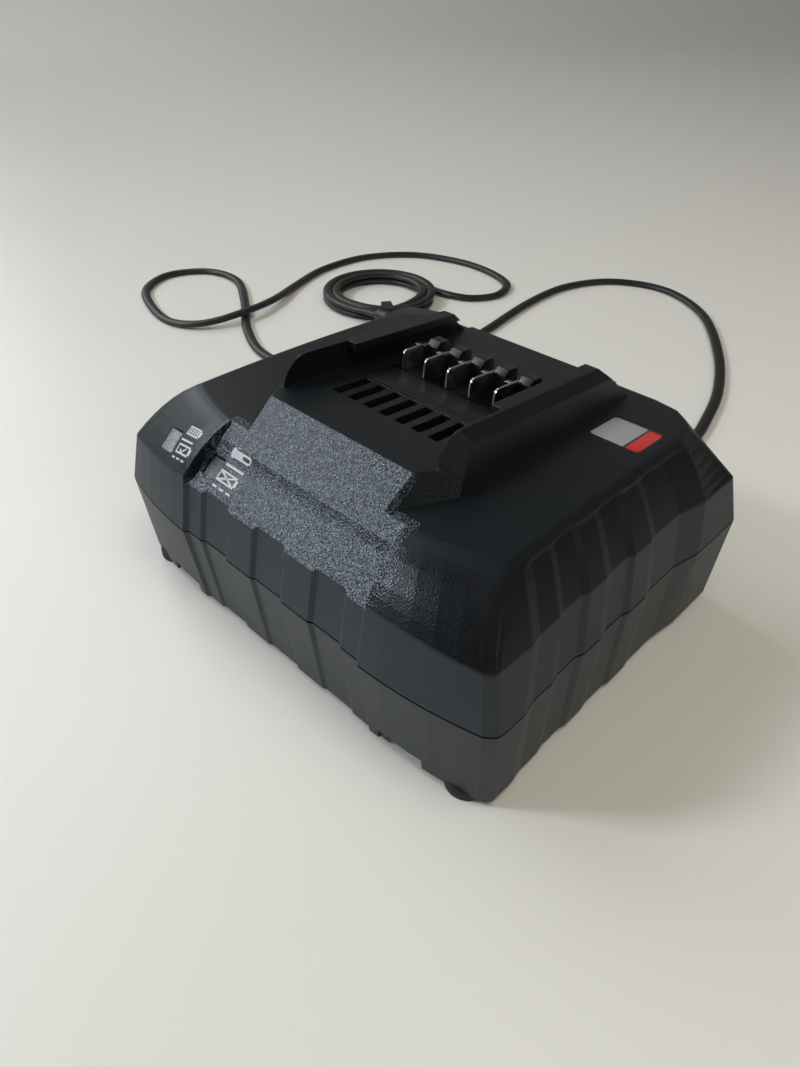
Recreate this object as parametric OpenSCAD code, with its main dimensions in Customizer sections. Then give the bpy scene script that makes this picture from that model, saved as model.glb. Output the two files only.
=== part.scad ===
/* [Housing] */
// Width of the housing across the seam
body_w = 165; // [155:1:180]
// Depth of the housing from the front flanks to the rear wall
body_d = 134; // [128:1:146]
// Height of the lower shell from its rim to the seam
lower_h = 30.9; // [28:0.1:34]
// Height of the upper shell's walls from the seam to the crease at the front
wall_h = 19.8; // [17:0.1:21]
// How much lower that crease lies at the rear
crease_drop = 2.6; // [1:0.1:4]
// How much lower that crease lies at the front corners
corner_drop = 2; // [1:0.1:3]
// Thickness of the shells
wall = 2.6; // [2.2:0.1:3]
// Thickness of the lower shell's floor
floor_t = 2.8; // [2:0.1:4]
// How far the front corners lie behind the middle of the front
front_bow = 6.3; // [3:0.1:8]
// Inward lean of the upper side walls
side_lean = 4.4; // [2:0.1:5]
// Inward lean of the upper front wall
front_lean = 3.6; // [2:0.1:5]
// Inward taper of the lower front wall
front_taper = 4.2; // [2:0.1:5]
// Inward taper of the lower side walls
side_taper = 1.3; // [0.5:0.1:2.5]
// Depth and height of the shadow groove at the seam
groove = 0.5; // [0.3:0.1:0.8]

/* [Ribs] */
// Depth of the first rib step
rib_1 = 1.22; // [0.8:0.02:1.4]
// Depth of both rib steps together
rib_2 = 2.18; // [1.6:0.02:2.4]
// Half width of a slanted rib step
rib_slant = 0.75; // [0.4:0.05:0.9]
// Distance of the outermost front step from the middle
nose_rib = 40.2; // [38:0.2:42]
// Distance that the side ribs lean back between the seam and the crease
rib_lean = 5; // [2:0.1:6]
// Length of the ramp that runs out of the rear side rib
rib_run_out = 12.3; // [8:0.1:14]

/* [Wings] */
// Height of the plateau above the seam at its front
wing_h = 33.2; // [31:0.1:35]
// Distance of the plateau's side edge from the middle
wing_x = 64.6; // [62:0.2:67]
// Distance of the plateau's front edge from the housing's front
wing_setback = 19.7; // [17:0.1:22]
// How far the plateau's front corners lie further back
wing_bow = 8.7; // [5:0.1:10]

/* [Nose] */
// Half width of the nose pocket at the front wall
pocket_x = 41; // [40:0.1:43]
// Half width of the nose pocket where it meets the plateau
pocket_top_x = 37.6; // [36:0.1:39]
// Width of a light window
window_w = 6; // [4:0.1:7]
// Length of a light window from front to rear
window_l = 5.4; // [4:0.1:6]
// Distance of the outer light window from the middle
window_1_x = 54.3; // [50:0.1:58]
// Distance of the nose's light window from the middle
window_2_x = 34.5; // [31:0.1:35.5]
// Clearance round a light window
window_gap = 0.2; // [0.1:0.05:0.4]

/* [Dock] */
// Height of the deck above the seam at the middle of the housing
deck_h = 38.3; // [37:0.1:41]
// Fall of the deck towards the rear in degrees
dock_tilt = 4.6; // [3:0.1:5]
// Distance of the deck's front lip from the middle of the housing
lip_y = 35.2; // [33:0.1:37]
// Height of the rails above the deck
rail_h = 9.3; // [8:0.1:10.5]
// Half width between the rails' lips
lip_x = 28; // [27:0.1:29]
// Depth of the groove under each lip
groove_d = 4; // [3:0.1:4.5]
// Thickness of the lip
lip_t = 3; // [2:0.1:4]
// Width of a rail's flat top
rail_top_w = 5; // [4:0.1:6]
// Size of the slanted shoulder on a rail's outer edge
shoulder = 3; // [1.5:0.1:4]
// Outward draft of a rail's outer face down to its foot
rail_draft = 3.2; // [2:0.1:4]
// Number of air slots in the deck
slot_count = 7; // [5:1:7]
// Distance between the air slots
slot_pitch = 6.77; // [5:0.01:7]
// Width of an air slot
slot_w = 3.8; // [2:0.1:4]
// Length of an air slot
slot_l = 14.6; // [9:0.1:15]

/* [Contacts] */
// Half width of the contact carrier's plate
carrier_x = 23.6; // [23.5:0.1:24.4]
// Distance between the contact blades
blade_pitch = 9.66; // [9:0.01:9.7]
// Thickness of a contact blade
blade_t = 0.8; // [0.6:0.1:1.2]
// Length of a contact blade along the slide
blade_l = 11.8; // [9:0.1:12.5]
// Height of a contact blade above the deck
blade_h = 6.9; // [5:0.1:7.5]
// Height of the guard posts above the deck
post_h = 7.7; // [7:0.1:8.8]
// Width of a guard post
post_w = 4.6; // [4:0.1:4.6]
// Clearance between the carrier and the pieces it meets
fit_gap = 0.2; // [0.1:0.05:0.3]

/* [Electronics] */
// Width of the circuit board
board_w = 112; // [100:1:116]
// Depth of the circuit board
board_d = 100; // [95:1:102]
// Thickness of the circuit board
board_t = 1.6; // [1.2:0.1:2]
// Height of the posts that carry the circuit board
board_rise = 6.4; // [5:0.1:8]
// Radius of a mains capacitor
bulk_r = 11; // [9:0.5:11]
// Height of a mains capacitor
bulk_h = 28; // [20:1:30]
// Width of the transformer core
core_w = 40; // [36:1:40]
// Height of the transformer core
core_h = 33; // [28:1:34]

/* [Fan] */
// Width of the square fan frame
fan_w = 40; // [38:1:42]
// Height of the fan frame
fan_h = 10; // [8:0.5:12]
// Clearance between the fan wheel and its frame
fan_gap = 0.6; // [0.4:0.1:1]
// Number of fan blades
fan_blades = 7; // [5:1:9]
// Radius of the fan shaft
fan_shaft_r = 1; // [0.8:0.1:1.4]

/* [Fasteners and feet] */
// Radius of a rubber foot
foot_r = 6.4; // [4:0.1:6.8]
// Height of a rubber foot below the rim
foot_h = 2.5; // [2:0.1:4]
// Radius of the housing screws' shanks
screw_r = 1.5; // [1.2:0.1:2]
// Radius of the housing screws' heads
screw_head_r = 3; // [2.6:0.1:3.4]

/* [Mains lead] */
// Width of the flat lead
lead_w = 5.4; // [5:0.1:5.4]
// Thickness of the flat lead
lead_t = 3.4; // [3:0.1:3.4]
// Distance of the lead's exit from the middle of the rear wall
exit_x = 33; // [33:1:33]
// Height of the lead's exit above the table
exit_z = 12; // [12:1:12]
// Radius of the strain relief at the wall
relief_r = 5.6; // [5:0.1:6.5]
// Radius of a plug pin
pin_r = 2; // [2:0.1:2.4]
// Length of a plug pin
pin_l = 19; // [17:0.5:19]
// Distance between the plug pins
pin_pitch = 18.6; // [17.5:0.1:19]

/* [Hidden] */

eps = 0.01;
cut = 1;
round_fn = 48;
small_fn = 32;
panel_colour = "#2b2d30";
satin_colour = "#1d1f22";
nickel_colour = "#d8d4c8";
steel_colour = "#b9bcc0";
board_colour = "#2f6b3c";
ferrite_colour = "#3a3a3e";

// Heights of the housing, measured from the table
half_w = body_w / 2;
half_d = body_d / 2;
rim_z = foot_h;
seam_z = rim_z + lower_h;
floor_z = rim_z + floor_t;
crease_z = seam_z + wall_h;
wing_z = seam_z + wing_h;
deck_z = seam_z + deck_h;
rear_taper = 2.4;
rear_lean = 0.6;
wing_crown_y = -17;
wing_fall = 0.00045;

function crease_at(x, y) = crease_z
    - corner_drop * pow(max(abs(x) - nose_rib, 0) / (half_w - nose_rib), 2)
    - crease_drop * (y + half_d) / body_d;
function wing_at(y) = wing_z + 0.5 - wing_fall * pow(y - wing_crown_y, 2);
function deck_at(y) = deck_z - tan(dock_tilt) * y;

// Outline of one half, from the middle of the front round to the middle of the rear. Each entry is
// [x, y, recess along +Y, recess along -X, x and y on the plateau's edge, lean along +Y, roundness].
wing_front_y = -half_d + wing_setback;
wing_corner_y = wing_front_y + wing_bow;
wing_rear_y = half_d - 15;
rail_end = half_d - 5;
front_steps = [nose_rib - 33.5, nose_rib - 20.4, nose_rib - 8, nose_rib];
front_depths = [rib_2, rib_1, rib_2, rib_1, 0];
side_steps = [[-48.8, -43.6], [-35.2, -31.8], [-23.3, -20.9], [-13, -9], [-0.3, 2.1], [10.9, 14.7]];
side_depths = [0, rib_1, rib_2, rib_1, rib_2, rib_1, rib_2];
side_run_out = 29.1;
front_corner_r = 3.2;
rear_corner_r = 1.8;
front_corner_y = -half_d + front_bow;
side_y0 = front_corner_y + front_corner_r;
side_y1 = half_d - rear_corner_r;
side_round = 0.8;

function front_y(x) = -half_d + front_bow * pow(max(abs(x) - nose_rib, 0) / (half_w - nose_rib), 2);
function front_entry(x, r) = [x, front_y(x), r, 0,
    x * (wing_x - 0.9) / half_w, wing_front_y + wing_bow * max(pow(x / half_w, 3), x / half_w / 4), 0, 1];
function side_wing_y(y) = max(0.887 * y + 9.6, wing_corner_y + 1.1);
function side_entry(y, r, lean) = [half_w, y, 0, r, wing_x, side_wing_y(y), lean, side_round];

half_outline = concat(
    [for (i = [0:3]) each [
        front_entry(front_steps[i] - rib_slant, front_depths[i]),
        front_entry(front_steps[i] + rib_slant, front_depths[i + 1])]],
    [for (x = [48, 56, 64, 72, half_w - front_corner_r]) front_entry(x, 0)],
    [for (a = [-60, -30]) [half_w - front_corner_r * (1 - cos(a)), side_y0 + front_corner_r * sin(a),
        0, 0, wing_x - 0.5 + a / 100, wing_corner_y + 0.7 + a / 100, 0, 1]],
    [side_entry(side_y0, 0, 0)],
    [for (i = [0:5]) each [
        side_entry(side_steps[i][0], side_depths[i], rib_lean),
        side_entry(side_steps[i][1], side_depths[i + 1], rib_lean)]],
    [side_entry(side_run_out, rib_2, rib_lean), side_entry(side_run_out + rib_run_out, 0, rib_lean)],
    [[half_w, side_y1, 0, 0, wing_x - 2.2, half_d - 10, 0, 0],
     [half_w - 0.5, half_d - 0.6, 0, 0, wing_x - 5.2, half_d - 6.4, 0, 0],
     [half_w - rear_corner_r, half_d, 0, 0, wing_x - 10, half_d - 2.6, 0, 0],
     [64, half_d, 0, 0, 46, half_d - 0.9, 0, 0],
     [30, half_d, 0, 0, 30, half_d - 0.7, 0, 0],
     [6, half_d, 0, 0, 6, half_d - 0.6, 0, 0]]);

// Moves a coordinate inwards, fully at the wall and hardly at all near the middle
function pull(v, half, amount) = v - sign(v) * amount * pow(abs(v) / half, 4);
function pull_xy(p, side, front, rear) = [
    pull(p[0], half_w, side),
    pull(p[1], half_d, p[1] < 0 ? front : rear)];
function recess(p, share) = [-p[3] * share, p[2] * share];
function inset(p, d) = [p[0] * (1 - d / half_w), p[1] * (1 - d / half_d)];
function rise(t, round) = t + round * (1 - pow(1 - t, 1.6) - t);

function mirror_ring(half) = concat(half,
    [for (i = [len(half) - 1:-1:0]) [-half[i][0], half[i][1], half[i][2]]]);

function lower_ring(z, share) = mirror_ring([for (p = half_outline)
    let (q = pull_xy(p, side_taper * share, front_taper * share, rear_taper * share)
        + recess(p, 1 - 0.3 * share))
    [q[0], q[1], z]]);
function seam_ring(z, d) = mirror_ring([for (p = half_outline)
    let (q = inset(p, d) + recess(p, 1)) [q[0], q[1], z]]);
// A ring on the upper shell, at a share of the way from the crease to the plateau's edge
function slope_ring(t, share) = mirror_ring([for (p = half_outline)
    let (a = pull_xy(p, side_lean, front_lean, rear_lean) + [0, p[6]],
        b = [p[4], p[5]],
        q = a + (b - a) * t + recess(p, share),
        z0 = crease_at(p[0], a[1]))
    [q[0], q[1], z0 + (wing_at(b[1]) - z0) * rise(t, p[7])]]);

function flat(ring) = max([for (p = ring) abs(p[2] - ring[0][2])]) < eps;

// Closed solid through rings of equal length; a crowned top is spanned from side to side
module loft(rings) {
    n = len(rings[0]);
    m = len(rings);
    top = (m - 1) * n;
    low = m * n;
    points = concat([for (r = rings) each r], [[0, 0, rings[0][0][2]], [0, 0, rings[m - 1][0][2]]]);
    sides = [for (k = [0:m - 2], i = [0:n - 1])
        let (j = (i + 1) % n)
        each [[k * n + i, (k + 1) * n + j, k * n + j], [k * n + i, (k + 1) * n + i, (k + 1) * n + j]]];
    base = [for (i = [0:n - 1]) [low, i, (i + 1) % n]];
    lid = [for (i = [0:n - 1]) [low + 1, top + (i + 1) % n, top + i]];
    crown = [for (i = [0:n / 2 - 2])
        each [[top + i, top + n - 1 - i, top + n - 2 - i], [top + i, top + n - 2 - i, top + i + 1]]];
    polyhedron(points = points, faces = concat(sides, base, flat(rings[m - 1]) ? lid : crown), convexity = 6);
}

// Inner outline of one half, without ribs: [x, y] at the wall and on the plateau
inner_x = half_w - rib_2 - wall;
inner_front = half_d - rib_2 - wall - 0.7;
inner_rear = half_d - wall - 0.2;
inner_half = [[20, -inner_front], [44, -inner_front + 0.8], [62, -inner_front + 3],
    [inner_x - 2, -inner_front + front_bow], [inner_x, -inner_front + front_bow + 3],
    [inner_x, 0], [inner_x, inner_rear - 6], [inner_x - 5, inner_rear - 2],
    [52, inner_rear - 0.6], [20, inner_rear]];
inner_wing = [[18, wing_front_y + 5], [34, wing_front_y + 5.6], [48, wing_front_y + 8.2],
    [wing_x - 5, wing_corner_y + 4], [wing_x - 3.4, wing_corner_y + 6.4],
    [wing_x - 3.4, 0], [wing_x - 3.4, wing_rear_y - 3], [wing_x - 8, half_d - 9],
    [44, inner_rear - 1.2], [20, inner_rear - 0.8]];

function inner_ring(z, side, front, rear) = mirror_ring([for (p = inner_half)
    let (q = pull_xy(p, side, front, rear)) [q[0], q[1], z]]);
function inner_crease_ring() = mirror_ring([for (p = inner_half)
    let (q = pull_xy(p, side_lean, front_lean, rear_lean)) [q[0], q[1], crease_at(p[0], q[1]) - wall]]);
function inner_wing_ring() = mirror_ring([for (p = inner_wing) [p[0], p[1], wing_at(p[1]) - wall]]);

// Places its children in the frame of the tilted deck, with Z = 0 on the deck
module on_deck() {
    translate([0, 0, deck_z])
        rotate([-dock_tilt, 0, 0])
            children();
}

// Extrudes a profile drawn as [y, z] along X, centred
module along_x(width) {
    rotate([90, 0, 90])
        linear_extrude(width, center = true)
            children();
}

module both_sides() {
    children();
    mirror([1, 0, 0])
        children();
}

module at_points(list) {
    for (p = list)
        translate([p[0], p[1], 0])
            children();
}

// Nose: the panel and ramp are one cut under this [y, z] profile
panel_edge_y = -half_d + 5.6;
ramp_foot_y = -half_d + 13.2;
ramp_fold_y = ramp_foot_y + 3.6;
lip_front_y = -lip_y;
nose_profile = [[panel_edge_y - 12, crease_z - 11], [ramp_foot_y, crease_z + 4.8],
    [ramp_fold_y, crease_z + 9.7], [lip_front_y, deck_at(lip_front_y)]];
nose_top = deck_z + 30;

module nose_cut() {
    intersection() {
        along_x(body_w)
            polygon(concat(nose_profile,
                [[lip_front_y, nose_top], [panel_edge_y - 12, nose_top]]));
        linear_extrude(nose_top)
            polygon([[-pocket_x - 3, -half_d - 14], [pocket_x + 3, -half_d - 14],
                [pocket_top_x, wing_front_y], [pocket_top_x, 0],
                [-pocket_top_x, 0], [-pocket_top_x, wing_front_y]]);
    }
}

// Dock: core, rails and the slanted cheeks at its front corners
rail_inner = lip_x + groove_d;
rail_a = lip_x + rail_top_w;
rail_b = rail_a + shoulder;
rail_foot = rail_b + rail_draft;
rail_sink = 16;
lip_start = -1.8;
rail_rear = 46.8;
rail_front = -28.5;
cheek_at = [rail_foot - 0.9, -28.6, wing_z];
cheek_turn = [0, -28, -28.6];
deck_rear = half_d - 4;

module rail_section() {
    polygon([[rail_inner - 1.5, -rail_sink], [rail_inner - 1.5, -0.4], [rail_inner, -0.4],
        [rail_inner, rail_h], [rail_a, rail_h], [rail_b, rail_h - shoulder - 0.5],
        [rail_foot, -6.8], [rail_foot, -rail_sink]]);
}

module lip_section() {
    polygon([[lip_x, rail_h - lip_t], [rail_inner + 0.5, rail_h - lip_t],
        [rail_inner + 0.5, rail_h], [lip_x, rail_h]]);
}

module rail_side() {
    polygon(concat(
        [for (a = [0:15:90])
            [rail_front + rail_h - rail_h * cos(a), rail_h * sin(a)]],
        [[rail_rear, rail_h], [rail_end, -2.6], [rail_end, -rail_sink],
         [rail_front, -rail_sink]]));
}

module rail() {
    intersection() {
        on_deck()
            intersection() {
                union() {
                    translate([0, half_d, 0])
                        rotate([90, 0, 0])
                            linear_extrude(body_d)
                                rail_section();
                    translate([0, half_d, 0])
                        rotate([90, 0, 0])
                            linear_extrude(half_d - lip_start)
                                lip_section();
                }
                along_x(body_w)
                    rail_side();
            }
        translate([0, -half_d, 0])
            cube([half_w, half_d + deck_rear, nose_top]);
    }
}

module dock() {
    difference() {
        union() {
            intersection() {
                on_deck()
                    translate([-rail_inner, -half_d, -rail_sink])
                        cube([2 * rail_inner, body_d + 20, rail_sink]);
                translate([-half_w, wing_front_y - 2, 0])
                    cube([body_w, deck_rear - wing_front_y + 2, nose_top]);
            }
            on_deck()
                translate([-rail_foot, wing_front_y - 2, -rail_sink])
                    cube([2 * rail_foot, rail_front - wing_front_y + 2 + eps, rail_sink]);
            both_sides()
                rail();
        }
        both_sides()
            translate(cheek_at)
                rotate(cheek_turn)
                    translate([0, -60, -60])
                        cube([60, 120, 120]);
    }
}

deck_t = wall;
dock_room_x = rail_inner - 2.7;
module dock_cavity() {
    intersection() {
        along_x(body_w)
            polygon([[ramp_foot_y + 2.3, crease_z + 3.6], [ramp_fold_y + 1.8, crease_z + 8],
                [lip_front_y + 1.2, deck_at(lip_front_y) - deck_t],
                [inner_rear - 1, deck_at(inner_rear - 1) - deck_t],
                [inner_rear - 1, seam_z + 10], [ramp_foot_y + 2.3, seam_z + 10]]);
        linear_extrude(nose_top)
            polygon([[-22, ramp_foot_y + 0.6], [22, ramp_foot_y + 0.6], [dock_room_x, -26], [dock_room_x, half_d],
                [-dock_room_x, half_d], [-dock_room_x, -26]]);
    }
}

// Air slots
slot_y0 = -17.3;
module air_slots() {
    on_deck()
        for (i = [0:slot_count - 1])
            translate([(i - (slot_count - 1) / 2) * slot_pitch - slot_w / 2, slot_y0, -2 * deck_t])
                cube([slot_w, slot_l, 4 * deck_t]);
}

// Contact carrier
carrier_y0 = -1.5;
carrier_y1 = 33;
blade_y0 = 11.3;
blade_y1 = blade_y0 + blade_l;
flange_x = carrier_x + 3;
flange_y1 = carrier_y1 + 3;
flange_t = 2;
plate_rise = 0.3;
blade_step = 0.7;
tail_l = 5;
post_y0 = blade_y1 + 0.4;
post_l = 6.8;
stand_l = 3.4;
contact_screws_at = [[-22, 30], [22, 30]];

function blade_x(i) = (i - 2) * blade_pitch;

module contact_carrier() {
    color(satin_colour)
        on_deck() {
            difference() {
                union() {
                    translate([-carrier_x, carrier_y0, -deck_t])
                        cube([2 * carrier_x, blade_y0 - carrier_y0 - 0.6, deck_t + plate_rise]);
                    translate([-carrier_x, carrier_y0, -deck_t])
                        cube([2 * carrier_x, carrier_y1 - carrier_y0, deck_t - blade_step]);
                    translate([-carrier_x, carrier_y0, -deck_t - flange_t])
                        cube([2 * carrier_x, 4, flange_t + eps]);
                    translate([-flange_x, carrier_y0 + 4, -deck_t - flange_t])
                        cube([2 * flange_x, flange_y1 - carrier_y0 - 4, flange_t]);
                    at_points(contact_screws_at)
                        translate([0, 0, -deck_t - flange_t - stand_l])
                            cylinder(h = stand_l + eps, r = 2.6, $fn = small_fn);
                    for (i = [0:4])
                        translate([blade_x(i) - 0.4, post_y0, -deck_t])
                            guard_post();
                }
                for (i = [0:4])
                    translate([blade_x(i) - blade_t / 2 - fit_gap, blade_y0 - fit_gap, -10])
                        cube([blade_t + 2 * fit_gap, blade_l + 2 * fit_gap, 20]);
                at_points(contact_screws_at)
                    translate([0, 0, -deck_t - flange_t - stand_l - cut])
                        cylinder(h = stand_l + cut + 1, r = 1, $fn = small_fn);
            }
        }
}

// Black post behind a blade, with a slanted front and top
module guard_post() {
    h = deck_t + post_h;
    translate([post_w / 2, 0, 0])
        along_x(post_w)
            polygon([[0, 0], [post_l, 0], [post_l, h - 1.4], [post_l - 1.2, h],
                [1.6, h], [0, h - 1.8]]);
}

// Upright contact: a thin blade with a round front corner, a terminal tab and a tail
module contact_blade(i) {
    corner = 1.8;
    tab = [3.4, 2.6, 0.8];
    tail = deck_t + flange_t + tail_l;
    color(nickel_colour)
        on_deck()
            translate([blade_x(i), 0, 0]) {
                along_x(blade_t)
                    difference() {
                        translate([blade_y0, -tail])
                            square([blade_l, tail + blade_h]);
                        translate([blade_y0 - eps, blade_h - corner])
                            square([corner, corner + eps]);
                        translate([blade_y0 - eps, -tail - eps])
                            square([2, tail_l + eps]);
                        translate([blade_y1 - 2, -tail - eps])
                            square([2 + eps, tail_l + eps]);
                    }
                intersection() {
                    along_x(blade_t)
                        translate([blade_y0 + corner, blade_h - corner])
                            circle(r = corner, $fn = small_fn);
                    translate([-blade_t, blade_y0, blade_h - corner])
                        cube([2 * blade_t, corner + eps, corner]);
                }
                translate([-tab[0], blade_y1 - tab[1], blade_h - 1.6])
                    cube(tab);
            }
}

// Small board that joins the blades' tails under the carrier
contact_board_t = 1.2;
contact_board_top = -deck_t - flange_t - stand_l;
module contact_board() {
    color(board_colour)
        on_deck()
            difference() {
                translate([-flange_x, blade_y0 - 5, contact_board_top - contact_board_t])
                    cube([2 * flange_x, flange_y1 - blade_y0 + 5, contact_board_t]);
                for (i = [0:4])
                    translate([blade_x(i) - blade_t / 2 - fit_gap, blade_y0 + 2 - fit_gap, -20])
                        cube([blade_t + 2 * fit_gap, blade_l - 4 + 2 * fit_gap, 20]);
            }
}

// Light windows: upright light pipes whose slanted ends lie just under the surface
light_board_z = seam_z + 6.6;
light_board_t = 1.6;
window_y = -57.6;
window_sink = 0.7;
led_h = 1.2;
nose_window_y = -55.8;

module window_column(x, y, gap, z0) {
    translate([-x - window_w / 2 - gap, y - window_l / 2 - gap, z0])
        cube([window_w + 2 * gap, window_l + 2 * gap, deck_z - z0]);
}

module light_pipe(x, y, z_mid, slope) {
    z0 = light_board_z + light_board_t + led_h + fit_gap;
    color("#aeb4b8")
        difference() {
            window_column(x, y, 0, z0);
            translate([-x, y, z_mid])
                rotate([slope, 0, 0])
                    translate([-20, -30, -window_sink])
                        cube([40, 60, 60]);
        }
}

flank_mid_z = crease_z + 5.4;
nose_mid_z = crease_z + 3.2;
module light_window_left() {
    light_pipe(window_1_x, window_y, flank_mid_z, 42);
}

module light_window_nose() {
    light_pipe(window_2_x, nose_window_y, nose_mid_z, 39);
}

light_board_y = -half_d + 11;
light_board_d = 13;
light_posts_y = light_board_y + 10.2;
light_posts_at = [[-57.6, light_posts_y], [-28.5, light_posts_y]];
module light_board() {
    color(board_colour) {
        difference() {
            translate([-61.2, light_board_y, light_board_z])
                cube([36, light_board_d, light_board_t]);
            at_points(light_posts_at)
                translate([0, 0, light_board_z - cut])
                    cylinder(h = light_board_t + 2 * cut, r = 1.3, $fn = small_fn);
        }
        for (p = [[window_1_x, window_y], [window_2_x, nose_window_y]])
            translate([-p[0] - 1.5, max(p[1], light_board_y + 1.6) - 1.5, light_board_z + light_board_t - eps])
                cube([3, 3, led_h]);
    }
}

module light_board_screws() {
    color(steel_colour)
        at_points(light_posts_at) {
            translate([0, 0, light_board_z - 1.6])
                cylinder(h = 1.6, r = 2.2, $fn = small_fn);
            translate([0, 0, light_board_z - eps])
                cylinder(h = 7, r = 1, $fn = small_fn);
        }
}

// Badge: a bare plate in a shallow recess of the right-hand plateau
badge_size = [17, 15.6, 0.8];
badge_at = [wing_x - 12.6, 37];
badge_r = 1.5;
badge_tilt = atan(2 * wing_fall * (badge_at[1] - wing_crown_y));

module on_badge() {
    translate([badge_at[0], badge_at[1], wing_at(badge_at[1])])
        rotate([-badge_tilt, 0, 0])
            children();
}

module badge_outline(gap) {
    x = badge_size[0] / 2 - badge_r;
    y = badge_size[1] / 2 - badge_r;
    square([2 * (x + gap) + 2 * badge_r, 2 * y], center = true);
    square([2 * x, 2 * (y + gap) + 2 * badge_r], center = true);
    for (sx = [-1, 1], sy = [-1, 1])
        translate([sx * x, sy * y])
            circle(r = badge_r + gap, $fn = small_fn);
}

module badge_plate() {
    color("#8f9496")
        on_badge()
            translate([0, 0, -badge_size[2] - 0.2])
                linear_extrude(badge_size[2])
                    badge_outline(0);
}

// Screw places, with the posts of both shells
housing_screws_at = [[-66, -46], [66, -46], [-66, 49], [66, 49]];
screw_head_z = rim_z + 7;
screw_head_h = 2.2;
screw_l = lower_h + 2;
duct_posts_x = rail_inner + 2.6;
duct_y = -9.5;
duct_plate_z = seam_z + 15.5;
duct_plate_t = 2;
pilot_gap = 0.1;

module upper_posts() {
    at_points(housing_screws_at)
        translate([0, 0, seam_z])
            difference() {
                cylinder(h = wing_h - 5.8, r = 3.6, $fn = small_fn);
                translate([0, 0, -cut])
                    cylinder(h = screw_l - lower_h + 14, r = screw_r + pilot_gap, $fn = small_fn);
            }
    for (x = [-duct_posts_x, duct_posts_x])
        translate([x, duct_y, duct_plate_z + duct_plate_t])
            difference() {
                cylinder(h = wing_z - 1 - duct_plate_z - duct_plate_t, r = 3, $fn = small_fn);
                translate([0, 0, -cut])
                    cylinder(h = 7, r = 1.1, $fn = small_fn);
            }
    at_points(light_posts_at)
        translate([0, 0, light_board_z + light_board_t])
            difference() {
                cylinder(h = wing_z - light_board_z - light_board_t - 4.4, r = 2.6, $fn = small_fn);
                translate([0, 0, -cut])
                    cylinder(h = 8, r = 1.1, $fn = small_fn);
            }
}

module upper_housing() {
    color(panel_colour) {
        difference() {
            union() {
                loft(concat([seam_ring(seam_z, groove), seam_ring(seam_z + groove, 0)],
                    [for (t = [0, 0.12, 0.25, 0.4, 0.56, 0.72]) slope_ring(t, 1)],
                    [for (t = [0.8, 0.9, 1]) slope_ring(t, 0)]));
                dock();
            }
            loft([inner_ring(seam_z - cut, 0, 0, 0), inner_crease_ring(), inner_wing_ring()]);
            dock_cavity();
            nose_cut();
            air_slots();
            on_deck()
                translate([-carrier_x - fit_gap, carrier_y0 - fit_gap, -3 * deck_t])
                    cube([2 * carrier_x + 2 * fit_gap, carrier_y1 - carrier_y0 + 2 * fit_gap, 6 * deck_t]);
            window_column(window_1_x, window_y, window_gap, seam_z + 8);
            window_column(window_2_x, nose_window_y, window_gap, seam_z + 8);
            on_badge()
                translate([0, 0, -badge_size[2] - 0.3])
                    linear_extrude(4)
                        badge_outline(0.25);
        }
        upper_posts();
    }
}

// Lower shell
board_z = floor_z + board_rise;
board_y = 1;
board_posts_at = [for (sx = [-1, 1], sy = [-1, 1])
    [sx * (board_w / 2 - 5), board_y + sy * (board_d / 2 - 5)]];
feet_at = [[-71.2, -54.6], [71.2, -54.6], [-71.2, 56], [71.2, 56]];
foot_seat = 1.2;
intake_x = 52.5;
intake_w = 16;
intake_h = 3.8;
floor_slots = 7;
relief_neck_r = relief_r - 1.2;

module lower_housing() {
    color(panel_colour)
        difference() {
            union() {
                difference() {
                    loft([lower_ring(rim_z, 1), lower_ring(seam_z, 0)]);
                    loft([inner_ring(floor_z, side_taper, front_taper, rear_taper),
                        inner_ring(seam_z + cut, 0, 0, 0)]);
                }
                at_points(housing_screws_at)
                    translate([0, 0, rim_z + eps])
                        cylinder(h = lower_h - eps, r = 5, $fn = small_fn);
                at_points(board_posts_at)
                    translate([0, 0, floor_z - eps])
                        cylinder(h = board_rise + eps, r = 3.2, $fn = small_fn);
            }
            at_points(housing_screws_at)
                translate([0, 0, rim_z - cut]) {
                    cylinder(h = screw_head_z - rim_z + cut, r = screw_head_r + 0.4, $fn = small_fn);
                    cylinder(h = lower_h + 3 * cut, r = screw_r + 0.3, $fn = small_fn);
                }
            at_points(board_posts_at)
                translate([0, 0, board_z - 7])
                    cylinder(h = 7 + cut, r = 1.1, $fn = small_fn);
            at_points(feet_at)
                translate([0, 0, rim_z - cut])
                    cylinder(h = foot_seat + cut, r = foot_r + fit_gap, $fn = round_fn);
            for (x = [-intake_x, intake_x])
                translate([x - intake_w / 2, -half_d - cut, rim_z - cut])
                    cube([intake_w, 18, intake_h + cut]);
            for (i = [0:floor_slots - 1])
                translate([-22, -34 + 6.5 * i, rim_z - cut])
                    cube([44, 2.6, floor_t + 2 * cut]);
            translate([exit_x, half_d + cut, exit_z])
                rotate([90, 0, 0])
                    cylinder(h = 8, r = relief_neck_r + fit_gap, $fn = round_fn);
        }
}

module rubber_foot(i) {
    color("#17181a")
        translate([feet_at[i][0], feet_at[i][1], 0]) {
            cylinder(h = foot_h + foot_seat, r = foot_r, $fn = round_fn);
        }
}

module housing_screws() {
    color(steel_colour)
        at_points(housing_screws_at)
            difference() {
                union() {
                    translate([0, 0, screw_head_z - screw_head_h])
                        cylinder(h = screw_head_h, r = screw_head_r, $fn = small_fn);
                    translate([0, 0, screw_head_z - eps])
                        cylinder(h = screw_l, r = screw_r, $fn = small_fn);
                }
                translate([0, 0, screw_head_z - screw_head_h - eps])
                    cylinder(h = 1.3, r = 1.3, $fn = 6);
            }
}

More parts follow.
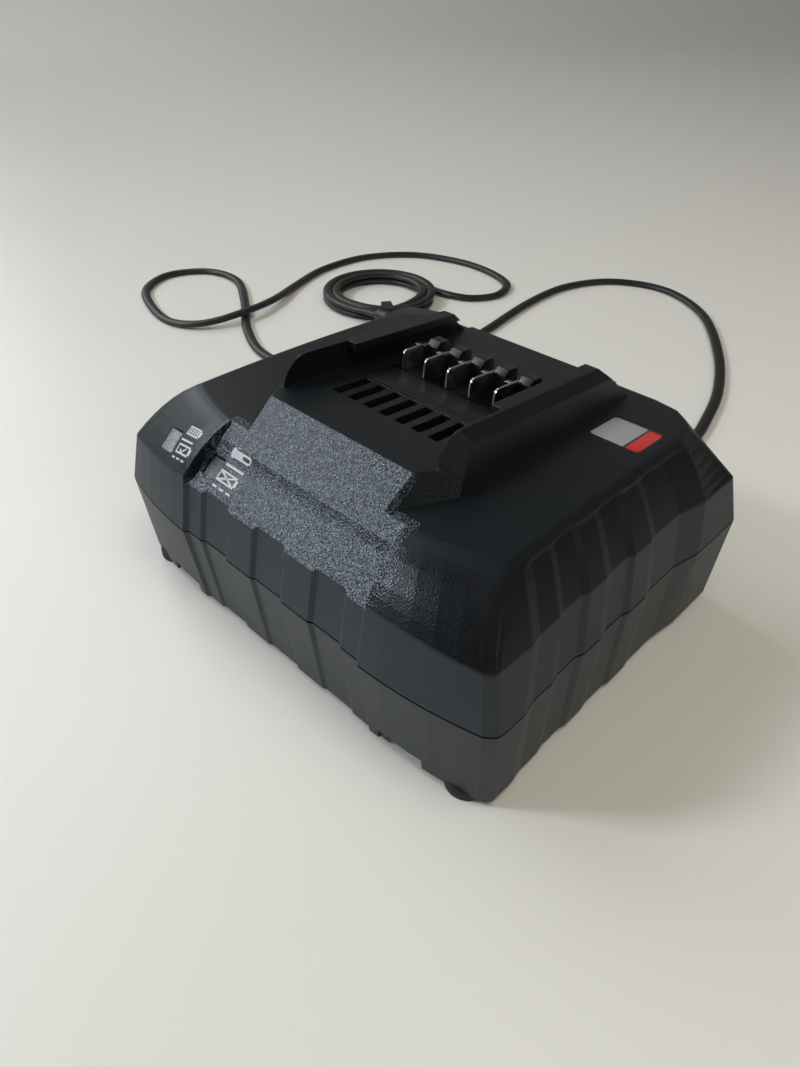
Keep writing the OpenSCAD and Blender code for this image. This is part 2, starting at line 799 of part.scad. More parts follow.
// Electronics
board_top = board_z + board_t;
core_d = 14;
core_at = [-31, 30];
leg_w = 12;
window_in = 9;
bobbin_wall = 1;
bobbin_gap = 0.15;
yoke = 5.5;

module circuit_board() {
    color(board_colour)
        difference() {
            translate([-board_w / 2, board_y - board_d / 2, board_z])
                cube([board_w, board_d, board_t]);
            at_points(board_posts_at)
                translate([0, 0, board_z - cut])
                    cylinder(h = board_t + 2 * cut, r = 1.5, $fn = small_fn);
        }
}

module board_screws() {
    color(steel_colour)
        at_points(board_posts_at) {
            translate([0, 0, board_top])
                cylinder(h = 1.8, r = 2.6, $fn = small_fn);
            translate([0, 0, board_top - 7])
                cylinder(h = 7 + eps, r = 1, $fn = small_fn);
        }
}

core_base = board_top + 1.6;
module transformer_core() {
    color(ferrite_colour)
        translate([core_at[0], core_at[1], core_base])
            difference() {
                translate([-core_w / 2, -core_d / 2, 0])
                    cube([core_w, core_d, core_h]);
                both_sides()
                    translate([leg_w / 2, -core_d / 2 - cut, yoke])
                        cube([window_in, core_d + 2 * cut, core_h - 2 * yoke]);
            }
}

module bobbin_section(grow) {
    x = leg_w / 2 + bobbin_gap + grow;
    y = core_d / 2 + bobbin_gap + grow;
    square([2 * x, 2 * y], center = true);
}

module transformer_bobbin() {
    h = core_h - 2 * yoke - 2 * bobbin_gap;
    color("#d9c48c")
        translate([core_at[0], core_at[1], core_base + yoke + bobbin_gap])
            difference() {
                union() {
                    linear_extrude(h)
                        bobbin_section(bobbin_wall);
                    for (z = [0, h - 1.4])
                        translate([0, 0, z])
                            linear_extrude(1.4)
                                square([leg_w + 2 * window_in - 0.6, core_d + 18], center = true);
                    for (s = [-1, 1])
                        translate([-7, s * (core_d / 2 + 5) - 2, -yoke - bobbin_gap - 1.6])
                            cube([14, 4, yoke + bobbin_gap + 1.6 + eps]);
                }
                translate([0, 0, -cut])
                    linear_extrude(h + 2 * cut)
                        bobbin_section(0);
            }
}

module transformer_winding() {
    h = core_h - 2 * yoke - 2 * bobbin_gap - 2.8;
    corner = 4;
    x = leg_w / 2 + window_in - 0.8 - corner;
    y = core_d / 2 + 8.4 - corner;
    color("#c9a227")
        translate([core_at[0], core_at[1], core_base + yoke + bobbin_gap + 1.4])
            linear_extrude(h)
                difference() {
                    union() {
                        square([2 * (x + corner), 2 * y], center = true);
                        square([2 * x, 2 * (y + corner)], center = true);
                        for (sx = [-1, 1], sy = [-1, 1])
                            translate([sx * x, sy * y])
                                circle(r = corner, $fn = small_fn);
                    }
                    bobbin_section(bobbin_wall);
                }
}

module can(x, y, r, h) {
    translate([x, y, board_top])
        difference() {
            cylinder(h = h, r = r, $fn = round_fn);
            translate([0, 0, 3])
                rotate_extrude($fn = round_fn)
                    translate([r + 0.6, 0])
                        circle(r = 1.2, $fn = small_fn);
        }
}

module mains_capacitor_front() {
    color("#26303f")
        can(-34, -31.5, bulk_r, bulk_h);
}

module mains_capacitor_rear() {
    color("#26303f")
        can(-34, -6, bulk_r, bulk_h);
}

module output_capacitors() {
    color("#26303f")
        for (y = [-36, -20])
            can(12, y, 6.3, 21);
}

module filter_capacitor() {
    color("#d2b21e")
        translate([6, 38, board_top])
            cube([9, 12, 15]);
}

// Upright plate with fins on one side
module heatsink(l, h, fins, pitch) {
    cube([2.6, l, h]);
    for (i = [0:fins - 1])
        translate([2.6 - eps, i * pitch + (l - (fins - 1) * pitch) / 2 - 0.7, 4])
            cube([8, 1.4, h - 4]);
}

module primary_heatsink() {
    color("#a9adb2")
        translate([-10, -42, board_top])
            heatsink(28, 16, 5, 6);
}

module secondary_heatsink() {
    color("#a9adb2")
        translate([34, -42, board_top])
            heatsink(50, 26, 9, 5.6);
}

module line_choke() {
    color("#8a4b2c")
        translate([42, 22, board_top + 4.5])
            rotate_extrude($fn = round_fn)
                translate([8, 0])
                    circle(r = 4.5, $fn = small_fn);
}

module fuse() {
    color("#c7ccd1")
        translate([19, 33, board_top + 3]) {
            translate([0, 0, -3])
                cube([3, 4, 3.4]);
            translate([0, 12, -3])
                cube([3, 4, 3.4]);
            translate([1.5, 0, 2])
                rotate([-90, 0, 0])
                    cylinder(h = 16, r = 2.5, $fn = small_fn);
        }
}

module terminal_block() {
    color("#3f7a4c")
        translate([exit_x - 7, 41, board_top])
            cube([14, 8, 9]);
}

relief_in = half_d - 9.5;
module inlet_wires() {
    color("#5b6f9e")
        for (s = [-1, 1])
            translate([exit_x + s * 2, relief_in, exit_z + 5])
                rotate([90, 0, 0])
                    cylinder(h = relief_in - 49, r = 1.1, $fn = small_fn);
}

wire_z = contact_board_top - contact_board_t;
module output_wires() {
    y = 28;
    r = 1.1;
    top = deck_at(y + r) + wire_z / cos(dock_tilt) - 0.2;
    color("#8c2f2a")
        for (i = [0:4])
            translate([-6 + 3.2 * i, y, board_top])
                cylinder(h = top - board_top, r = r, $fn = small_fn);
}

// Fan and duct
fan_top = duct_plate_z;
fan_z = fan_top - fan_h;
fan_hole = fan_w / 2 - 4;
fan_bore = fan_w / 2 - 1.1;
wheel_r = fan_bore - fan_gap;
hub_r = 9.5;
strut_t = 1.8;
shaft_gap = 0.05;

module fan_corners() {
    for (sx = [-1, 1], sy = [-1, 1])
        translate([sx * fan_hole, duct_y + sy * fan_hole, 0])
            children();
}

module air_duct() {
    collar = [(slot_count - 1) * slot_pitch + slot_w + 1, slot_l + 1];
    duct_wall = 1.2;
    y0 = slot_y0 - 1.4;
    color(satin_colour) {
        difference() {
            union() {
                translate([-duct_posts_x - 4, duct_y - fan_w / 2, duct_plate_z])
                    cube([2 * duct_posts_x + 8, fan_w, duct_plate_t]);
                intersection() {
                    translate([-collar[0] / 2 - duct_wall, y0 - duct_wall, duct_plate_z])
                        cube([collar[0] + 2 * duct_wall, collar[1] + 2 * duct_wall, 40]);
                    on_deck()
                        translate([-half_w, -half_d, -60])
                            cube([body_w, body_d, 60 - deck_t - fit_gap]);
                }
            }
            translate([-collar[0] / 2, y0, duct_plate_z + duct_plate_t])
                cube([collar[0], collar[1], 40]);
            intersection() {
                translate([0, duct_y, duct_plate_z - cut])
                    cylinder(h = duct_plate_t + 2 * cut, r = fan_bore, $fn = round_fn);
                translate([-fan_w, y0, duct_plate_z - cut])
                    cube([2 * fan_w, collar[1], duct_plate_t + 2 * cut]);
            }
            for (x = [-duct_posts_x, duct_posts_x])
                translate([x, duct_y, duct_plate_z - cut])
                    cylinder(h = duct_plate_t + 2 * cut, r = 1.5, $fn = small_fn);
            fan_corners()
                translate([0, 0, duct_plate_z - cut])
                    cylinder(h = duct_plate_t + 2 * cut, r = 1.1, $fn = small_fn);
        }
    }
}

module duct_screws() {
    color(steel_colour)
        for (x = [-duct_posts_x, duct_posts_x])
            translate([x, duct_y, duct_plate_z]) {
                translate([0, 0, -1.8])
                    cylinder(h = 1.8, r = 2.6, $fn = small_fn);
                translate([0, 0, -eps])
                    cylinder(h = 7, r = 1, $fn = small_fn);
            }
}

module fan_frame() {
    color(satin_colour)
        translate([0, duct_y, fan_z])
            difference() {
                union() {
                    difference() {
                        translate([-fan_w / 2, -fan_w / 2, 0])
                            cube([fan_w, fan_w, fan_h]);
                        translate([0, 0, -cut])
                            cylinder(h = fan_h + 2 * cut, r = fan_bore, $fn = round_fn);
                    }
                    cylinder(h = strut_t, r = hub_r, $fn = round_fn);
                    for (a = [45:90:315])
                        rotate([0, 0, a])
                            translate([hub_r - 1, -1.2, 0])
                                cube([fan_bore - hub_r + 2, 2.4, strut_t]);
                    cylinder(h = 5, r = 2.6, $fn = small_fn);
                }
                translate([0, 0, -cut])
                    cylinder(h = 8, r = fan_shaft_r + shaft_gap, $fn = small_fn);
                translate([0, -duct_y, 0])
                    fan_corners()
                        translate([0, 0, -cut])
                            cylinder(h = fan_h + 2 * cut, r = 1.6, $fn = small_fn);
            }
}

module fan_rotor() {
    base = strut_t + 0.5;
    h = fan_h - base - 0.6;
    color("#34363a")
        translate([0, duct_y, fan_z]) {
            difference() {
                translate([0, 0, base])
                    cylinder(h = h, r = hub_r, $fn = round_fn);
                translate([0, 0, base - cut])
                    cylinder(h = h + cut - 1.2, r = hub_r - 1.2, $fn = round_fn);
            }
            translate([0, 0, 0.2])
                cylinder(h = base + h - 0.4, r = fan_shaft_r, $fn = small_fn);
            for (i = [0:fan_blades - 1])
                intersection() {
                    rotate([0, 0, i * 360 / fan_blades])
                        translate([hub_r - 0.6, 0, base + h / 2])
                            rotate([38, 0, 0])
                                translate([0, -6, -0.6])
                                    cube([wheel_r, 12, 1.2]);
                    translate([0, 0, base])
                        cylinder(h = h, r = wheel_r, $fn = round_fn);
                }
        }
}

module fan_screws() {
    color(steel_colour)
        fan_corners() {
            translate([0, 0, fan_z - 1.8])
                cylinder(h = 1.8, r = 2.6, $fn = small_fn);
            translate([0, 0, fan_z - eps])
                cylinder(h = fan_h + duct_plate_t - 0.5, r = 1, $fn = small_fn);
        }
}

// Mains lead: points chosen by hand along its free route on the table
lead_z = 1.7;
relief_end = 99;
coil_at = [-198, 176];
coil_r = 30;
coil_outer_r = 32.8;
coil_half = 5.6;
coil_z0 = 0.5;
coil_h = 7;
plug_x = -169;
plug_y = 146;
plug_z = 7;
lead_points = [[exit_x, relief_end, exit_z], [exit_x, 112, 10], [exit_x, 124, 5.2], [32, 136, 2.1],
    [29, 152, lead_z], [24, 176, lead_z], [13, 212, lead_z], [-8, 254, lead_z],
    [-40, 298, lead_z], [-76, 318, lead_z], [-108, 308, lead_z], [-125, 278, lead_z],
    [-126, 238, lead_z], [-118, 186, lead_z], [-111, 134, lead_z],
    [-121, 100, lead_z], [-147, 78, lead_z], [-182, 72, lead_z], [-216, 86, lead_z],
    [-249, 109, lead_z], [-283, 128, lead_z], [-310, 125, lead_z],
    [-323, 102, lead_z], [-311, 78, lead_z], [-285, 65, lead_z], [-256, 60, 1.8],
    [-236, 71, 3.6], [-230, 96, 5.4], [-236, 122, 4], [-250, 152, 1.9],
    [-260, 184, lead_z], [-258, 220, lead_z], [-238, 249, lead_z], [-206, 262, lead_z],
    [-177, 261, lead_z], [-155, 251, lead_z], [-148, 232, lead_z], [-157, 215, 1.9],
    [-176, 208.4, 2.2], [coil_at[0], coil_at[1] + coil_outer_r, 2.3]];
tail_points = [[coil_at[0], coil_at[1] - coil_outer_r, 5.8], [-189, 143.4, 6], [-179, 145.2, 6.6],
    [plug_x, plug_y, plug_z]];

function spline(p0, p1, p2, p3, t) = 0.5 * (2 * p1 + (p2 - p0) * t
    + (2 * p0 - 5 * p1 + 4 * p2 - p3) * t * t + (3 * p1 - p0 - 3 * p2 + p3) * t * t * t);
function smooth_path(p, steps) = let (n = len(p)) concat(
    [for (i = [0:n - 2], k = [0:steps - 1])
        spline(p[max(i - 1, 0)], p[i], p[i + 1], p[min(i + 2, n - 1)], k / steps)],
    [p[n - 1]]);
function unit(v) = v / norm(v);

// Flat tube swept along a path; its end faces stand square to the given directions
module swept_lead(path, sides, start, finish) {
    n = len(path);
    ring = [for (i = [0:n - 1])
        let (d = i == 0 ? start : i == n - 1 ? finish : unit(path[i + 1] - path[i - 1]),
            across = unit([d[1], -d[0], 0]),
            up = cross(across, d))
        each [for (k = [0:sides - 1])
            let (a = 360 * k / sides)
            path[i] + across * lead_w / 2 * cos(a) + up * lead_t / 2 * sin(a)]];
    faces = concat(
        [for (i = [0:n - 2], k = [0:sides - 1])
            let (j = (k + 1) % sides)
            each [[i * sides + k, i * sides + j, (i + 1) * sides + j],
                [i * sides + k, (i + 1) * sides + j, (i + 1) * sides + k]]],
        [[for (k = [sides - 1:-1:0]) k]],
        [[for (k = [0:sides - 1]) (n - 1) * sides + k]]);
    polyhedron(points = ring, faces = faces, convexity = 8);
}

relief_out = half_d - 1.1;
relief_back = inner_rear - rear_taper - 0.2;
module strain_relief() {
    neck = relief_out - relief_back;
    wall_y = relief_out;
    color(satin_colour)
        translate([exit_x, 0, exit_z])
            rotate([-90, 0, 0]) {
                translate([0, 0, wall_y])
                    cylinder(h = 3, r = relief_r, $fn = round_fn);
                translate([0, 0, wall_y + 3 - eps])
                    cylinder(h = relief_end - wall_y - 3 + eps, r1 = relief_r - 0.6, r2 = 3.2, $fn = round_fn);
                translate([0, 0, wall_y - neck])
                    cylinder(h = neck + eps, r = relief_neck_r, $fn = round_fn);
                translate([0, 0, wall_y - neck - 1.7])
                    cylinder(h = 1.7 + eps, r = relief_r, $fn = round_fn);
            }
}

module mains_lead() {
    color("#121314")
        swept_lead(smooth_path(lead_points, 2), 8, [0, 1, 0], [-1, 0, 0]);
}

module lead_coil() {
    r = 2;
    color("#121314")
        translate([coil_at[0], coil_at[1], coil_z0])
            rotate_extrude($fn = 64)
                translate([coil_r - coil_half, 0]) {
                    translate([r, 0])
                        square([2 * coil_half - 2 * r, coil_h]);
                    translate([0, r])
                        square([2 * coil_half, coil_h - 2 * r]);
                    for (x = [r, 2 * coil_half - r], y = [r, coil_h - r])
                        translate([x, y])
                            circle(r = r, $fn = small_fn);
                }
}

module coil_tie() {
    tie_t = 0.4;
    gap = 0.3;
    w = 6;
    color("#1a1a1c")
        translate([coil_at[0], coil_at[1], 0])
            rotate([0, 0, -35])
                translate([coil_r, 0, 0])
                    difference() {
                        translate([-coil_half - gap - tie_t, -w / 2, 0])
                            cube([2 * (coil_half + gap + tie_t), w, coil_z0 + coil_h + 0.1 + tie_t]);
                        translate([-coil_half - gap, -w / 2 - cut, tie_t])
                            cube([2 * (coil_half + gap), w + 2 * cut, coil_z0 + coil_h + 0.1 - tie_t]);
                    }
}

module plug_lead() {
    color("#121314")
        swept_lead(smooth_path(tail_points, 2), 8, [1, 0, 0], [1, 0, 0]);
}

plug_boot = 14;
plug_l = 32;
plug_t = 13.6;
root_l = 5;
root_step = 0.4;
module plug_body() {
    front = plug_x + plug_boot + plug_l;
    color(satin_colour)
        difference() {
            union() {
                translate([plug_x, plug_y, plug_z])
                    rotate([0, 90, 0])
                        cylinder(h = plug_boot + eps, r1 = 3.2, r2 = 4.6, $fn = round_fn);
                translate([0, 0, plug_z - plug_t / 2])
                    linear_extrude(plug_t)
                        polygon([[plug_x + plug_boot, plug_y - 8], [plug_x + plug_boot + 3, plug_y - 11],
                            [front - 12, plug_y - 17], [front - 3, plug_y - 17.5], [front, plug_y - 14.5],
                            [front, plug_y + 14.5], [front - 3, plug_y + 17.5], [front - 12, plug_y + 17],
                            [plug_x + plug_boot + 3, plug_y + 11], [plug_x + plug_boot, plug_y + 8]]);
            }
            for (s = [-1, 1])
                translate([front - root_l, plug_y + s * pin_pitch / 2, plug_z])
                    rotate([0, 90, 0])
                        cylinder(h = root_l + cut, r = pin_r - root_step, $fn = small_fn);
        }
}

module plug_pins() {
    front = plug_x + plug_boot + plug_l;
    color(nickel_colour)
        for (s = [-1, 1])
            translate([front, plug_y + s * pin_pitch / 2, plug_z])
                rotate([0, 90, 0]) {
                    cylinder(h = pin_l - pin_r, r = pin_r, $fn = small_fn);
                    translate([0, 0, pin_l - pin_r])
                        sphere(r = pin_r, $fn = small_fn);
                    translate([0, 0, -root_l])
                        cylinder(h = root_l + eps, r = pin_r - root_step, $fn = small_fn);
                }
}

lower_housing();
upper_housing();
contact_carrier();
contact_blade(0);  // contact_blade_1
contact_blade(1);  // contact_blade_2
contact_blade(2);  // contact_blade_3
contact_blade(3);  // contact_blade_4
contact_blade(4);  // contact_blade_5
light_window_left();
light_window_nose();
light_board();
light_board_screws();
badge_plate();
circuit_board();
board_screws();
transformer_core();
transformer_bobbin();
transformer_winding();
mains_capacitor_front();
mains_capacitor_rear();
output_capacitors();
filter_capacitor();
primary_heatsink();
secondary_heatsink();
line_choke();
fuse();
terminal_block();
inlet_wires();
output_wires();
contact_board();
air_duct();
duct_screws();
fan_frame();
fan_rotor();
fan_screws();
housing_screws();
rubber_foot(0);  // rubber_foot_1
rubber_foot(1);  // rubber_foot_2
rubber_foot(2);  // rubber_foot_3
rubber_foot(3);  // rubber_foot_4
strain_relief();
mains_lead();
lead_coil();
coil_tie();
plug_lead();
plug_body();
plug_pins();
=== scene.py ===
"""Battery charger: finishes, printed marks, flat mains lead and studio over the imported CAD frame.

Everything is in metres, +Z up, with the table at Z 0. Run the file as a script; its operators follow
one another in main().
"""

import math

import bpy
from bpy.props import FloatProperty, FloatVectorProperty, IntProperty, PointerProperty
from mathutils import Matrix, Vector


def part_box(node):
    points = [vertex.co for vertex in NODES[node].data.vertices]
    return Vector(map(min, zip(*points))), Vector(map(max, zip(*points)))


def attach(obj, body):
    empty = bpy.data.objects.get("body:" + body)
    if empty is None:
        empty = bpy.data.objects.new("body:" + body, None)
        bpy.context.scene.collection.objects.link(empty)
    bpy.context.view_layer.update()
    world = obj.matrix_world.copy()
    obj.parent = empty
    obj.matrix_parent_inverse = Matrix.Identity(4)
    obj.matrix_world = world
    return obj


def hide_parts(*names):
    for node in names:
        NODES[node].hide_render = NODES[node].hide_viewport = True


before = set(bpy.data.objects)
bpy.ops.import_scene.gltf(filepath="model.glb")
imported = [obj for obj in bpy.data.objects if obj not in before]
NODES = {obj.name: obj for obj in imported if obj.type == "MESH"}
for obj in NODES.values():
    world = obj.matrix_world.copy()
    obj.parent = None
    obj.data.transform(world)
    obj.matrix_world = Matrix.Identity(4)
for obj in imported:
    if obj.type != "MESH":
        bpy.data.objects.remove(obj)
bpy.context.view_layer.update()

bl_info = {
    "name": "Battery charger",
    "version": (1, 0, 0),
    "blender": (4, 5, 0),
    "location": "View3D > Sidebar > Charger",
    "description": "Dresses a battery charger with its finishes, printed marks and mains lead",
    "category": "Object",
}

MM = 0.001
BODY = "charger"

HALF_W, HALF_D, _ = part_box("upper_housing")[1]
SEAM_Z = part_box("lower_housing")[1].z
BADGE_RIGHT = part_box("badge_plate")[1].x
PLUG_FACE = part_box("plug_body")[1].x
WINDOW_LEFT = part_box("light_window_left")
WINDOW_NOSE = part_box("light_window_nose")
RELIEF_LOW, RELIEF_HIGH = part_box("strain_relief")

# The lead's free route in millimetres, as the part's source has it
LEAD_Z = 1.7
LEAD_POINTS = [
    (33, 99, 12), (33, 112, 10), (33, 124, 5.2), (32, 136, 2.1), (29, 152, LEAD_Z), (24, 176, LEAD_Z),
    (13, 212, LEAD_Z), (-8, 254, LEAD_Z), (-40, 298, LEAD_Z), (-76, 318, LEAD_Z), (-108, 308, LEAD_Z),
    (-125, 278, LEAD_Z), (-126, 238, LEAD_Z), (-118, 186, LEAD_Z), (-111, 134, LEAD_Z),
    (-121, 100, LEAD_Z), (-147, 78, LEAD_Z), (-182, 72, LEAD_Z), (-216, 86, LEAD_Z),
    (-249, 109, LEAD_Z), (-283, 128, LEAD_Z), (-310, 125, LEAD_Z), (-323, 102, LEAD_Z),
    (-311, 78, LEAD_Z), (-285, 65, LEAD_Z), (-256, 60, 1.8), (-236, 71, 3.6), (-230, 96, 5.4),
    (-236, 122, 4), (-250, 152, 1.9), (-260, 184, LEAD_Z), (-258, 220, LEAD_Z), (-238, 249, LEAD_Z),
    (-206, 262, LEAD_Z), (-177, 261, LEAD_Z), (-155, 251, LEAD_Z), (-148, 232, LEAD_Z),
    (-157, 215, 1.9), (-176, 208.4, 2.2), (-198, 208.8, 2.3),
]
TAIL_POINTS = [(-198, 143.2, 5.8), (-189, 143.4, 6), (-179, 145.2, 6.6), (-169, 146, 7)]

# The coil, in millimetres: two columns of turns side by side, each with a lower and an upper layer
COIL_CENTRE = (-198, 176)
COIL_TURNS = 3.5
COIL_R = 30
COIL_COLUMN = 2.8
COIL_LOW_Z = 2.3
COIL_HIGH_Z = 5.8


def length(name, description, default, low, high):
    """A size that a user can change, given here in millimetres."""
    return FloatProperty(
        name=name, description=description, default=default * MM, min=low * MM, max=high * MM,
        precision=5, unit="LENGTH",
    )


def tone(name, description, default):
    """A colour that a user can change."""
    return FloatVectorProperty(
        name=name, description=description, default=default, min=0, max=1, subtype="COLOR",
    )


class ChargerSizes(bpy.types.PropertyGroup):
    """Sizes of the dressed charger that a user would change."""

    lead_width: length("Lead width", "Width of the flat mains lead", 5.4, 3, 8)
    lead_thickness: length("Lead thickness", "Thickness of the flat mains lead", 3.4, 2, 5)
    shell_round: length("Shell edge rounding", "Radius that softens the shells' edges", 0.5, 0.1, 1.5)
    small_round: length("Small edge rounding", "Radius that softens the small pieces' edges", 0.15, 0.02, 0.5)
    grain: length("Grain", "Size of the spark-eroded grain on the nose and slopes", 0.48, 0.1, 2.5)
    grain_depth: length("Grain depth", "Depth of the spark-eroded grain", 0.09, 0.0, 0.5)
    fold_round: length("Fold softness", "Radius over which the shading turns at the shells' folds", 1.6, 0.1, 4)
    print_lift: length("Print thickness", "How far the printed marks stand off the plastic", 0.03, 0.01, 0.2)
    relief_grooves: IntProperty(
        name="Relief grooves", description="Number of grooves round the strain relief",
        default=6, min=2, max=10,
    )


class ChargerColours(bpy.types.PropertyGroup):
    """Colours of the dressed charger that a user would change."""

    satin: tone("Satin plastic", "Colour of the wings, deck and rails", (0.006, 0.0078, 0.0102))
    textured: tone("Textured plastic", "Colour of the nose, cheeks and slopes", (0.0025, 0.0033, 0.0045))
    # The bright specks are painted glints: colour that stands in for light glinting off the grain.
    painted_glint: tone("Sparkle", "Colour of the bright specks in the eroded grain", (0.12, 0.148, 0.19))
    walls: tone("Walls", "Colour of the upright walls and the lower shell", (0.025, 0.029, 0.036))
    badge: tone("Badge", "Colour of the bare badge plate", (0.33, 0.34, 0.35))
    badge_band: tone("Badge band", "Colour of the band along the badge's side", (0.62, 0.018, 0.016))
    print_white: tone("Print", "Colour of the printed marks", (0.62, 0.64, 0.66))
    lead: tone("Lead", "Colour of the mains lead and its sleeve", (0.012, 0.012, 0.013))
    floor: tone("Floor", "Colour of the floor and backdrop", (0.8, 0.78, 0.74))


def sizes():
    return bpy.context.scene.charger_sizes


def colours():
    return bpy.context.scene.charger_colours


# ---- Selecting and finishing meshes ----


def deselect():
    bpy.ops.object.select_all(action="DESELECT")
    bpy.context.view_layer.objects.active = None


def activate(obj):
    deselect()
    obj.select_set(True)
    bpy.context.view_layer.objects.active = obj


def place_in_mesh(obj):
    """Moves the object's place, turn and scale into its mesh."""
    activate(obj)
    bpy.ops.object.transform_apply(location=True, rotation=True, scale=True)


def add_modifier(obj, name, kind, **values):
    modifier = obj.modifiers.new(name, kind)
    for key, value in values.items():
        setattr(modifier, key, value)
    return modifier


def apply_modifiers(obj):
    activate(obj)
    for modifier in list(obj.modifiers):
        bpy.ops.object.modifier_apply(modifier=modifier.name)


def smooth(obj, angle):
    """Smooths across edges that turn by less than that many degrees."""
    activate(obj)
    bpy.ops.object.shade_smooth_by_angle(angle=math.radians(angle))


def cover(obj, material):
    """Gives the whole object one material."""
    obj.data.materials.clear()
    obj.data.materials.append(material)
    for face in obj.data.polygons:
        face.material_index = 0


def take_in(obj, name, material, instead_of=()):
    """Names a finished piece, gives it its material and body, and hides the CAD parts it stands in for."""
    obj.name = name
    obj.data.name = name
    cover(obj, material)
    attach(obj, BODY)
    if instead_of:
        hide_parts(*instead_of)
    deselect()
    return obj


def join_meshes(objs):
    activate(objs[0])
    for obj in objs:
        obj.select_set(True)
    bpy.ops.object.join()
    return bpy.context.view_layer.objects.active


# ---- Materials ----


# Both inputs and the output of a Mix node, for each kind of value
MIX_SOCKETS = {"FLOAT": (2, 3, 0), "VECTOR": (4, 5, 1), "RGBA": (6, 7, 2)}


class Finish:
    """A small hand for building a node material: each method adds a node and returns its output."""

    def __init__(self, name, colour, roughness, **shader):
        self.material = bpy.data.materials.new(name)
        self.material.use_nodes = True
        self.tree = self.material.node_tree
        self.shader = self.tree.nodes["Principled BSDF"]
        self.set("Base Color", (*colour, 1))
        self.set("Roughness", roughness)
        for key, value in shader.items():
            self.set(key.replace("_", " ").title().replace("Ior", "IOR"), value)
        self.place = self.node("ShaderNodeTexCoord").outputs["Object"]
        self.axes = None

    def node(self, kind, **values):
        made = self.tree.nodes.new(kind)
        for key, value in values.items():
            setattr(made, key, value)
        return made

    def set(self, socket, value):
        self.feed(self.shader.inputs[socket], value)

    def feed(self, target, value):
        """Links a socket, or sets a plain value."""
        if isinstance(value, bpy.types.NodeSocket):
            self.tree.links.new(value, target)
        else:
            target.default_value = value

    def axis(self, name):
        if self.axes is None:
            split = self.node("ShaderNodeSeparateXYZ")
            self.feed(split.inputs[0], self.place)
            self.axes = split.outputs
        return self.axes[name]

    def math(self, operation, a, b=0.0, clamp=False):
        made = self.node("ShaderNodeMath", operation=operation, use_clamp=clamp)
        self.feed(made.inputs[0], a)
        self.feed(made.inputs[1], b)
        return made.outputs[0]

    def times(self, a, b):
        return self.math("MULTIPLY", a, b)

    def step(self, value, low, high):
        """0 below low and 1 above high, smoothly; the other way round where low is above high."""
        made = self.node("ShaderNodeMapRange", interpolation_type="SMOOTHSTEP", clamp=True)
        first, last = (low, high) if low < high else (high, low)
        self.feed(made.inputs["Value"], value)
        self.feed(made.inputs["From Min"], first)
        self.feed(made.inputs["From Max"], last)
        self.feed(made.inputs["To Min"], 0.0 if low < high else 1.0)
        self.feed(made.inputs["To Max"], 1.0 if low < high else 0.0)
        return made.outputs["Result"]

    def noise(self, size, detail=2.0, rough=0.5, stretch=None):
        """Noise whose lumps are about that many metres across."""
        made = self.node("ShaderNodeTexNoise")
        made.inputs["Scale"].default_value = 1 / size
        made.inputs["Detail"].default_value = detail
        made.inputs["Roughness"].default_value = rough
        place = self.place
        if stretch:
            mapping = self.node("ShaderNodeMapping")
            self.feed(mapping.inputs["Vector"], place)
            mapping.inputs["Scale"].default_value = stretch
            place = mapping.outputs[0]
        self.feed(made.inputs["Vector"], place)
        return made.outputs["Fac"]

    def voronoi(self, size):
        made = self.node("ShaderNodeTexVoronoi")
        made.inputs["Scale"].default_value = 1 / size
        self.feed(made.inputs["Vector"], self.place)
        return made.outputs

    def cells(self, size):
        """Distance from the middle of the nearest cell, for cells that many metres across."""
        return self.voronoi(size)["Distance"]

    def specks(self, size, share):
        """1 in small dots, in that share of the cells."""
        cells = self.voronoi(size)
        split = self.node("ShaderNodeSeparateXYZ")
        self.feed(split.inputs[0], cells["Color"])
        chosen = self.step(split.outputs[0], 1 - share - 0.02, 1 - share + 0.02)
        return self.times(chosen, self.step(cells["Distance"], 0.62, 0.4))

    def spread(self, value, low, high):
        """A 0 to 1 value spread from low to high."""
        return self.math("ADD", self.times(value, high - low), low)

    def mix(self, weight, first, second):
        """Colours blended by weight."""
        ends = ((*end, 1) if isinstance(end, tuple) else end for end in (first, second))
        return self.blend(weight, *ends, "RGBA")

    def shades(self, weight, colour, low, high):
        """One colour from low to high times its own strength."""
        return self.mix(weight, tuple(c * low for c in colour), tuple(min(c * high, 1) for c in colour))

    def blend(self, weight, first, second, kind="FLOAT"):
        """Numbers, or values of another kind, blended by weight."""
        made = self.node("ShaderNodeMix", data_type=kind)
        a, b, out = MIX_SOCKETS[kind]
        for index, value in ((0, weight), (a, first), (b, second)):
            self.feed(made.inputs[index], value)
        return made.outputs[out]

    def rounding(self, radius):
        """A normal that turns softly across every edge."""
        made = self.node("ShaderNodeBevel", samples=6)
        self.feed(made.inputs["Radius"], radius)
        return made.outputs[0]

    def bump(self, height, depth, strength=1.0, under=None):
        made = self.node("ShaderNodeBump")
        made.inputs["Distance"].default_value = depth
        self.feed(made.inputs["Strength"], strength)
        self.feed(made.inputs["Height"], height)
        if under is not None:
            self.feed(made.inputs["Normal"], under)
        return made.outputs[0]

    def vary_colour(self, colour, amount, size):
        """The colour, lighter and darker by that share in soft patches."""
        self.set("Base Color", self.shades(self.noise(size, 3), colour, 1 - amount, 1 + amount))


def plain_plastic(name, colour, roughness, bump, size):
    """Moulded plastic: soft patches of colour and roughness over a fine skin of that depth and size."""
    finish = Finish(name, colour, roughness)
    finish.vary_colour(colour, 0.15, 20 * MM)
    finish.set("Roughness", finish.spread(finish.noise(12 * MM, 4), roughness * 0.85, roughness * 1.15))
    finish.set("Normal", finish.bump(finish.noise(size, 3), bump))
    return finish


